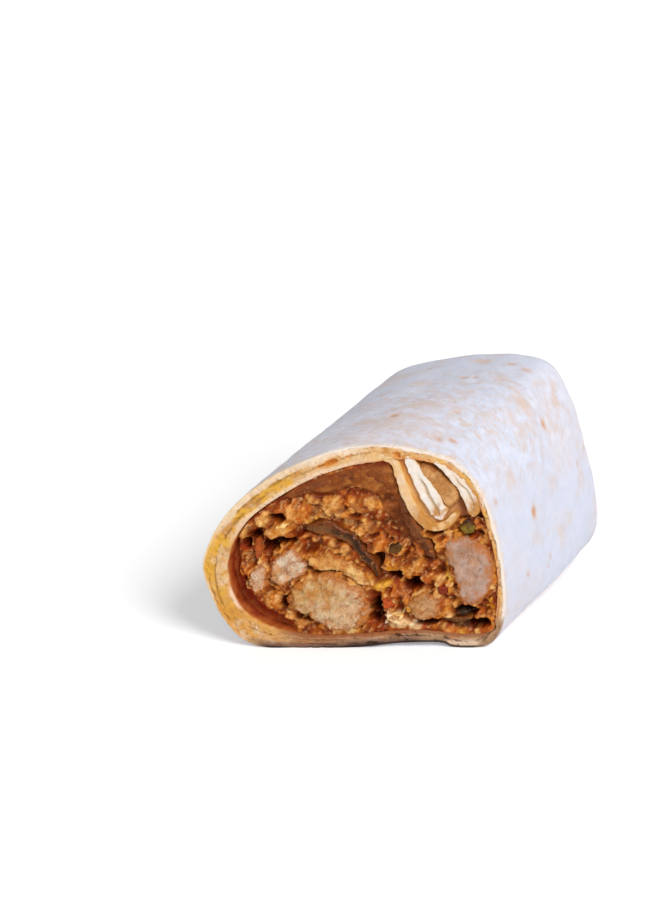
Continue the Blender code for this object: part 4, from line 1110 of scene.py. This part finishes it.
def make_shreds(u, v, back):
    """Loose shreds of chicken that lie over the filling's face."""
    paths = [*SHREDS]
    for k in RNG.random((LOOSE_SHREDS, 6)):
        name = ("gold", "amber", "orange", "gold")[int(4 * k[4])]
        paths.append(((-30 + 64 * k[0], 5 + 34 * k[1]), 2.0 + 2.8 * k[2], 180 * k[3], name))
    inner = spline(INNER_AT_CUT, 4)
    room = inner - normals(inner) * 1.5
    taken = [spline(outline, 3) for _, _, _, outline in CHICKEN + PEPPER]
    taken += [np.array(FILM), pocket_loop() - (1.5, 0.0)]
    points, faces, tones = [], [], []
    rings, sides = 15, 8
    s = np.linspace(-0.5, 0.5, rings)
    for number, (place, length, turn, name) in enumerate(paths):
        angle = math.radians(turn) + 0.9 * s * math.sin(number * 2.4)
        line = np.cumsum(np.stack([np.cos(angle), np.sin(angle)], -1) * length / (rings - 1), axis=0)
        line += np.array(place) - line.mean(axis=0)
        line += 0.18 * np.stack([rough(flat(s * length, s, number + w), 1.1, 9) for w in (0.3, 0.7)], -1)
        a, b = line.T
        if not within(a, b, room).all() or any(within(a, b, loop).any() for loop in taken):
            continue
        nearest = [np.argmin((u - x) ** 2 + (v - y) ** 2) for x, y in line]
        depth = np.convolve(np.pad(back[nearest], 2, mode="edge"), np.full(5, 0.2), mode="valid")
        if depth.mean() > 3.2:
            continue
        girth = (0.30 + 0.22 * ((number * 0.618) % 1.0)) * np.sqrt(np.clip(1 - (2 * s) ** 8, 0.03, 1.0))
        girth = girth * (1 + 0.6 * rough(flat(s * length, s, number * 1.7), 0.7, 19))
        height = 0.35 + 0.8 * rough(flat(s * length, s, number), 0.9, 29)
        _, side = along_line(line)
        quads = np.array(grid_faces(sides + 1, rings)) % (sides * rings)
        faces += (quads + rings * len(points)).tolist()
        for k in range(sides):
            t = 2 * math.pi * k / sides
            edge = line + side * (girth * math.cos(t))[:, None]
            points.append(behind(*edge.T, depth - 0.12 - 0.8 * girth * math.sin(t)))
            # lighter towards the cut face and darker behind: painted highlight and shade round each shred
            tones.append(three_tones(TONES[name], height + 0.3 * math.sin(t)))
    piece("chicken_shreds", np.vstack(points), faces, np.vstack(tones), 0.5, ["filling"], STUFFING)


# ---- the pieces ----

# Colours of a chunk's core, side and crust, its fibres' direction in degrees and how much sauce stains it
CHICKEN_LOOKS = {
    "chicken_large": ((198, 168, 132), (186, 142, 86), (172, 96, 28), 60, 0.22),
    "chicken_right": ((172, 144, 130), (168, 130, 104), (170, 98, 40), 95, 0.10),
    "chicken_left": ((206, 182, 156), (186, 144, 104), (168, 92, 28), 20, 0.55),
    "chicken_far_left": ((210, 192, 176), (192, 154, 120), (172, 94, 28), 0, 0.2),
    "chicken_low_right": ((182, 138, 96), (170, 118, 66), (164, 86, 30), 40, 0.2),
    "chicken_strip": ((220, 176, 110), (202, 142, 74), (164, 88, 28), -40, 0.3),
    "chicken_in_fold": ((196, 146, 92), (176, 120, 64), (148, 88, 38), 60, 0.0),
}
# How rough the calmer chunks are, as a share of the others
CALM_CHICKEN = {"chicken_in_fold": 0.15, "chicken_right": 0.55}


def chunk_rows(outline, depth, proud, calm, seed):
    """Rows of places and depths over a chunk, from the middle of its cut face round to its back."""
    loop = spline(outline, max(6, 260 // len(outline)))
    centre = loop.mean(axis=0)
    loop = loop + normals(loop) * (1.4 * calm * fractal(flat(*loop.T, seed), 2.2, 4, 5, 0.75))[:, None]
    rings = 12 + int(np.linalg.norm(loop - centre, axis=1).max() / 0.25)
    rows = []
    for size in np.linspace(0.004, 1.0, rings):
        place = centre + (loop - centre) * size
        edge = 1.5 * (1 - math.sqrt(max(1 - max((size - 0.7) / 0.3, 0.0) ** 2.2, 0.0)))
        uneven = np.array([noise.noise(Vector((a, b, -proud)) / 2.4) for a, b in place]) * (0.8 * calm)
        rows.append((place, edge - proud + uneven, size))
    for share, size in ((0.12, 1.0), (0.3, 1.0), (0.6, 0.94), (0.85, 0.75), (1.0, 0.3)):
        place = centre + (loop - centre) * size
        rows.append((place, np.full(len(place), depth * share + 1.5), 1.0))
    return rows


def make_chicken(name, depth, proud, outline, seed):
    """A chunk of chicken: pale fibres in its middle, brown and crumbly along its edge; painted highlight and
    shade.
    """
    core, side, crust, turn, stained = CHICKEN_LOOKS[name]
    calm = CALM_CHICKEN.get(name, 1.0)
    middle_u = np.mean(outline, axis=0)[0]
    rows, tones, glosses = [], [], []
    for place, back, size in chunk_rows(outline, depth, proud, calm, seed):
        u, v = place.T
        spot = flat(u, v, seed)
        along, across = turned(u, v, math.radians(turn))
        fibres = flat(along / 2.8, across, seed)
        grain = fractal(fibres, 0.7, 3, 7, 0.7)
        bumps = fractal(spot, 2.0, 4, 17, 0.65)
        crumbs, crack = crumble(u, v, 1.5, seed)
        edge = smooth(0.72, 1.0, size + 0.40 * fractal(spot, 2.2, 4, 37, 0.75))
        back = back + (0.22 * grain + 0.50 * bumps - (0.12 + 0.40 * edge) * crumbs) * calm
        rows.append(behind(u, v, back))
        tone = painted(
            linear(core), (side, smooth(-0.35, 0.35, fractal(spot, 4.0, 3, 47) + 0.06 * (middle_u - u))))
        # lighter on raised crumbs, darker in the fibres' grooves: painted highlight and shade
        tone *= (1 + 0.25 * np.clip(crumbs, -0.4, 0.4) - 0.24 * grain)[:, None]
        tone = painted(tone, (crust, 0.9 * edge), (crust, 0.55 * smooth(0.05, 0.45, bumps) * calm))
        # a painted highlight on the raised bumps
        tone = blend(tone, linear(core) * 1.15, 0.6 * smooth(0.1, 0.5, -bumps + 0.3 * grain) * (1 - edge))
        seam = smooth(0.08, 0.02, abs(fractal(fibres * (0.6, 1.0, 1.0), 1.6, 4, 73, 0.7)))
        tone = blend(tone, linear(crust) * 0.75, 0.45 * seam * smooth(-0.3, 0.3, bumps))
        tones.append(painted(
            tone,
            ((196, 122, 50), stained * smooth(-0.02, 0.16, fractal(spot, 2.2, 4, 67, 0.7))),
            ((148, 76, 28), 0.9 * stained * smooth(0.15, 0.45, fractal(spot, 1.5, 4, 69, 0.7))),
            ((124, 50, 16), 0.75 * smooth(0.1, 0.7, crack) * edge),
            # painted shade, darker the farther back the chunk runs
            ((88, 32, 8), 0.9 * smooth(1.3, 3.5, back + proud)),
        ))
        glosses.append(0.3 + 0.35 * edge)
    piece(name, np.vstack(rows), grid_faces(len(rows), len(rows[0]), closed=True), np.vstack(tones),
          np.concatenate(glosses), [name], MEAT)


# Colours of a piece's flesh and skin
PEPPER_LOOKS = {
    "green_pepper_top": ((106, 86, 24), (58, 28, 6)),
    "green_pepper_middle": ((84, 54, 12), (60, 30, 6)),
    "green_pepper_low": ((44, 28, 12), (28, 14, 6)),
    "red_pepper_middle": ((180, 74, 26), (134, 38, 12)),
    "red_pepper_right": ((130, 42, 12), (92, 26, 6)),
}


def make_pepper(name, depth, proud, outline, seed):
    """A small diced piece of pepper with flat sides: dull flesh, and skin along one side."""
    flesh, skin = PEPPER_LOOKS[name]
    corners = np.array(outline)
    centre = corners.mean(axis=0)
    t = (np.arange(24) / 24)[None, :, None]
    loop = (corners[:, None] + (np.roll(corners, -1, axis=0) - corners)[:, None] * t).reshape(-1, 2)
    squareness = 0.7 if name == "green_pepper_top" else 0.3
    loop = squareness * loop + (1 - squareness) * spline(outline, 24)
    loop = centre + (loop - centre) * (0.95 + 0.16 * fractal(flat(*loop.T, seed), 1.6, 3, 9))[:, None]
    rows, tones = [], []
    for step, size in enumerate([*np.linspace(0.01, 0.9, 14), 0.94, 0.97, 0.99, 1.0, 1.0, 1.0]):
        u, v = (centre + (loop - centre) * size).T
        spot = flat(u, v, seed)
        back = 0.9 * smooth(0.6, 1.0, size) ** 2 - proud + 0.6 + 0.12 * (u - centre[0])
        back += 0.30 * fractal(spot, 1.3, 3, 3)
        rows.append(behind(u, v, back + depth * 0.4 * max(step - 17, 0)))
        aside = (v - centre[1] - 0.5 * (u - centre[0])) / 2.0
        skin_side = smooth(0.3, 1.0, aside + 0.4 * fractal(spot, 1.4, 3, 13))
        tone = painted(
            linear(flesh),
            (skin, np.maximum(skin_side, smooth(0.9, 1.0, size))),
            ((126, 58, 16), (1.0 - squareness) * smooth(0.0, 0.5, fractal(spot, 1.6, 4, 33, 0.7))),
        )
        tones.append(tone * (1 + 0.5 * fractal(spot, 0.7, 2, 23))[:, None])
    piece(name, np.vstack(rows), grid_faces(len(rows), len(loop), closed=True), np.vstack(tones), 0.6,
          [name], VEGETABLE)


# Colours of a strip's light, middle and dark ribs; the light and dark ones also paint highlight and shade
# across it
ONION_LOOKS = {
    "onion_top": ((152, 90, 38), (124, 63, 21), (88, 38, 10)),
    "onion_middle": ((140, 100, 58), (106, 64, 28), (50, 26, 8)),
    "onion_right": ((142, 88, 46), (104, 54, 20), (66, 28, 8)),
    "onion_left": ((190, 102, 42), (162, 74, 26), (112, 42, 10)),
    "onion_low_right": ((128, 84, 36), (90, 52, 18), (52, 24, 6)),
}
# These strips are wider than their solids, and the middle one's near end lies higher
ONION_WIDTHS = {"onion_top": 4.4, "onion_middle": 3.9, "onion_right": 3.2}
ONION_MIDDLE_LIFT = 0.8


def make_onion(name, proud, width, path, seed):
    """A soft brown strip of onion: smooth, ribbed along its length and darker at one edge with painted shade.
    """
    width = ONION_WIDTHS.get(name, width)
    in_middle = name == "onion_middle"
    line = spline(path, 24, closed=False)
    line[:, 1] += ONION_MIDDLE_LIFT * in_middle * smooth(4.0, -2.0, line[:, 0])
    s, side = along_line(line)
    total = s[-1]
    marks = flat(s, np.zeros_like(s), seed)
    line = line + side * (0.25 * fractal(marks, 5.0, 2, 3))[:, None]
    farther = in_middle * smooth(0.15, 0.6, s / total)
    tip = np.sqrt(np.clip(np.minimum(s, total - s) / (0.6 * width), 0.0, 1.0))
    taper = 0.55 + 0.45 * np.sin(math.pi * np.clip(s / total, 0.0, 1.0)) ** 0.6
    taper = taper * (1 - 0.35 * farther)
    half = 0.5 * width * (1 + 0.4 * fractal(marks, 3.0, 3, 13)) * np.maximum(tip, 0.03) * taper
    half = half + 0.3 * tip * fractal(marks, 1.2, 4, 19, 0.75)
    light, mid, dark = ONION_LOOKS[name]
    darker_side = 0.9 if in_middle else -0.6
    rows, tones = [], []

    def row(w, deep=None):
        u, v = (line + side * (w * half)[:, None]).T
        spot = flat(u, v, seed)
        rib = fractal(flat(s / 7.0, np.full_like(s, w * 0.5 * width), seed), 0.5, 4, 23, 0.75)
        back = 0.7 * (1 - math.sqrt(max(1 - abs(w) ** 3.0, 0.0))) + 1.3 - proud + 0.10 * rib
        back = back + 0.9 * fractal(marks, 3.0, 3, 33) + 0.4 * fractal(spot, 1.6, 3, 37)
        rows.append(behind(u, v, back if deep is None else np.full(len(s), deep)))
        # lit and shaded: painted highlight and painted shade across the strip and along the middle one's
        # farther part
        lit = 0.7 * rib + 0.3 * w + 0.3 * fractal(marks, 3.0, 3, 47)
        shaded = 0.5 * fractal(marks, 4.0, 3, 43) + darker_side * w + 0.6 * farther
        tones.append(painted(
            linear(mid),
            (light, 0.7 * smooth(0.0, 0.7, lit)),
            (dark, smooth(0.0, 0.8, shaded + 0.8 * rib)),
            ((134, 66, 22), 0.6 * smooth(0.3, 0.9, abs(w) + 0.6 * fractal(spot, 1.8, 4, 53, 0.7))),
            ((200, 126, 60), 0.5 * smooth(0.34, 0.46, fractal(spot, 1.1, 5, 57, 0.8))),
        ))

    for deep in (12.0, 5.0, 2.2):
        row(-1.0, deep)
    for w in np.linspace(-1, 1, 25):
        row(w)
    for deep in (2.2, 5.0, 12.0):
        row(1.0, deep)
    faces = grid_faces(len(rows), len(s))
    piece(name, np.vstack(rows), faces, np.vstack(tones), 0.8, [name], VEGETABLE)


# ---- the studio ----

FLOOR_REACH = 3.0
LIT_PLACE = (0.0, 0.0, 0.03)
CAMERA_AT = (214.6, -448.75, 298.8)     # in millimetres


def make_floor():
    """White paper, which glows a little more from 0.1 to 0.55 m away, so that it stays white far off."""
    mesh = bpy.data.meshes.new("floor")
    far = FLOOR_REACH
    mesh.from_pydata([(-far, -far, 0), (far, -far, 0), (far, far, 0), (-far, far, 0)], [], [(0, 1, 2, 3)])
    floor = bpy.data.objects.new("floor", mesh)
    bpy.context.scene.collection.objects.link(floor)
    mat = bpy.data.materials.new("floor_paper")
    mat.use_nodes = True
    tree = mat.node_tree
    mix = tree.nodes.new("ShaderNodeMix")
    mix.data_type = "RGBA"
    shade = add_node(tree, "TexNoise", {"Scale": 40.0})["Fac"]
    fill(tree, mix, {"A": (0.90, 0.90, 0.90, 1.0), "B": (0.93, 0.93, 0.93, 1.0), "Factor": shade})
    place = add_node(tree, "TexCoord", {})["Object"]
    away = add_node(tree, "VectorMath", {0: place}, "LENGTH")["Value"]
    inputs = {"Value": away, "From Min": 0.10, "From Max": 0.55, "To Min": 0.12, "To Max": 0.48}
    fill(tree, tree.nodes["Principled BSDF"], {
        "Base Color": mix.outputs["Result"],
        "Roughness": 0.9,
        "Emission Color": (1.0, 1.0, 1.0, 1.0),
        "Emission Strength": add_node(tree, "MapRange", inputs)["Result"],
    })
    mesh.materials.append(mat)


def direction(azimuth, elevation):
    """From the wrap towards a place: degrees from straight in front to the right, and up."""
    a, e = math.radians(azimuth), math.radians(elevation)
    return Vector((math.sin(a) * math.cos(e), -math.cos(a) * math.cos(e), math.sin(e)))


def make_light(name, azimuth, elevation, distance_m, size, power):
    """A round lamp that shines on the wrap's middle."""
    lamp = bpy.data.lights.new(name, "AREA")
    lamp.shape = "DISK"
    lamp.size = size
    lamp.energy = power
    thing = bpy.data.objects.new(name, lamp)
    towards = direction(azimuth, elevation)
    thing.location = towards * distance_m + Vector(LIT_PLACE)
    thing.rotation_euler = towards.to_track_quat("Z", "Y").to_euler()
    bpy.context.scene.collection.objects.link(thing)


def make_studio():
    """The floor, the lamps, an even white light from all round and the camera."""
    make_floor()
    make_light("key", 70.0, 50.0, 0.9, 0.45, 5.8)
    make_light("fill", -20.0, 35.0, 1.1, 0.9, 1.6)
    scene = bpy.context.scene
    scene.world = bpy.data.worlds.new("studio")
    scene.world.use_nodes = True
    tree = scene.world.node_tree
    fill(tree, tree.nodes["Background"], {"Color": (1.0, 1.0, 1.0, 1.0), "Strength": 0.50})
    scene.view_settings.view_transform = "Standard"
    camera = bpy.data.objects.new("camera", bpy.data.cameras.new("camera"))
    camera.data.sensor_fit = "VERTICAL"
    camera.data.sensor_height = 24.0
    camera.data.lens = 57.15
    camera.location = Vector(CAMERA_AT) * MM
    camera.rotation_euler = direction(28.0, 27.0).to_track_quat("Z", "Y").to_euler()
    scene.collection.objects.link(camera)
    scene.camera = camera


def main():
    """Makes every piece, then the studio round them."""
    make_tortilla()
    make_lining()
    make_fold("inner_fold", INNER_FOLD, FOLD_WIDTHS, 0.0, 0.15)
    make_fold("left_pleat", LEFT_PLEAT, LEFT_PLEAT_WIDTHS, 1.0, 1.0)
    make_fold("right_pleat", RIGHT_PLEAT, RIGHT_PLEAT_WIDTHS, 0.7, 0.8)
    make_shreds(*make_filling())
    for seed, chunk in enumerate(CHICKEN, 1):
        make_chicken(*chunk, seed)
    for seed, dice in enumerate(PEPPER, 21):
        make_pepper(*dice, seed)
    for seed, strip in enumerate(ONION, 31):
        make_onion(*strip, seed)
    make_studio()


main()
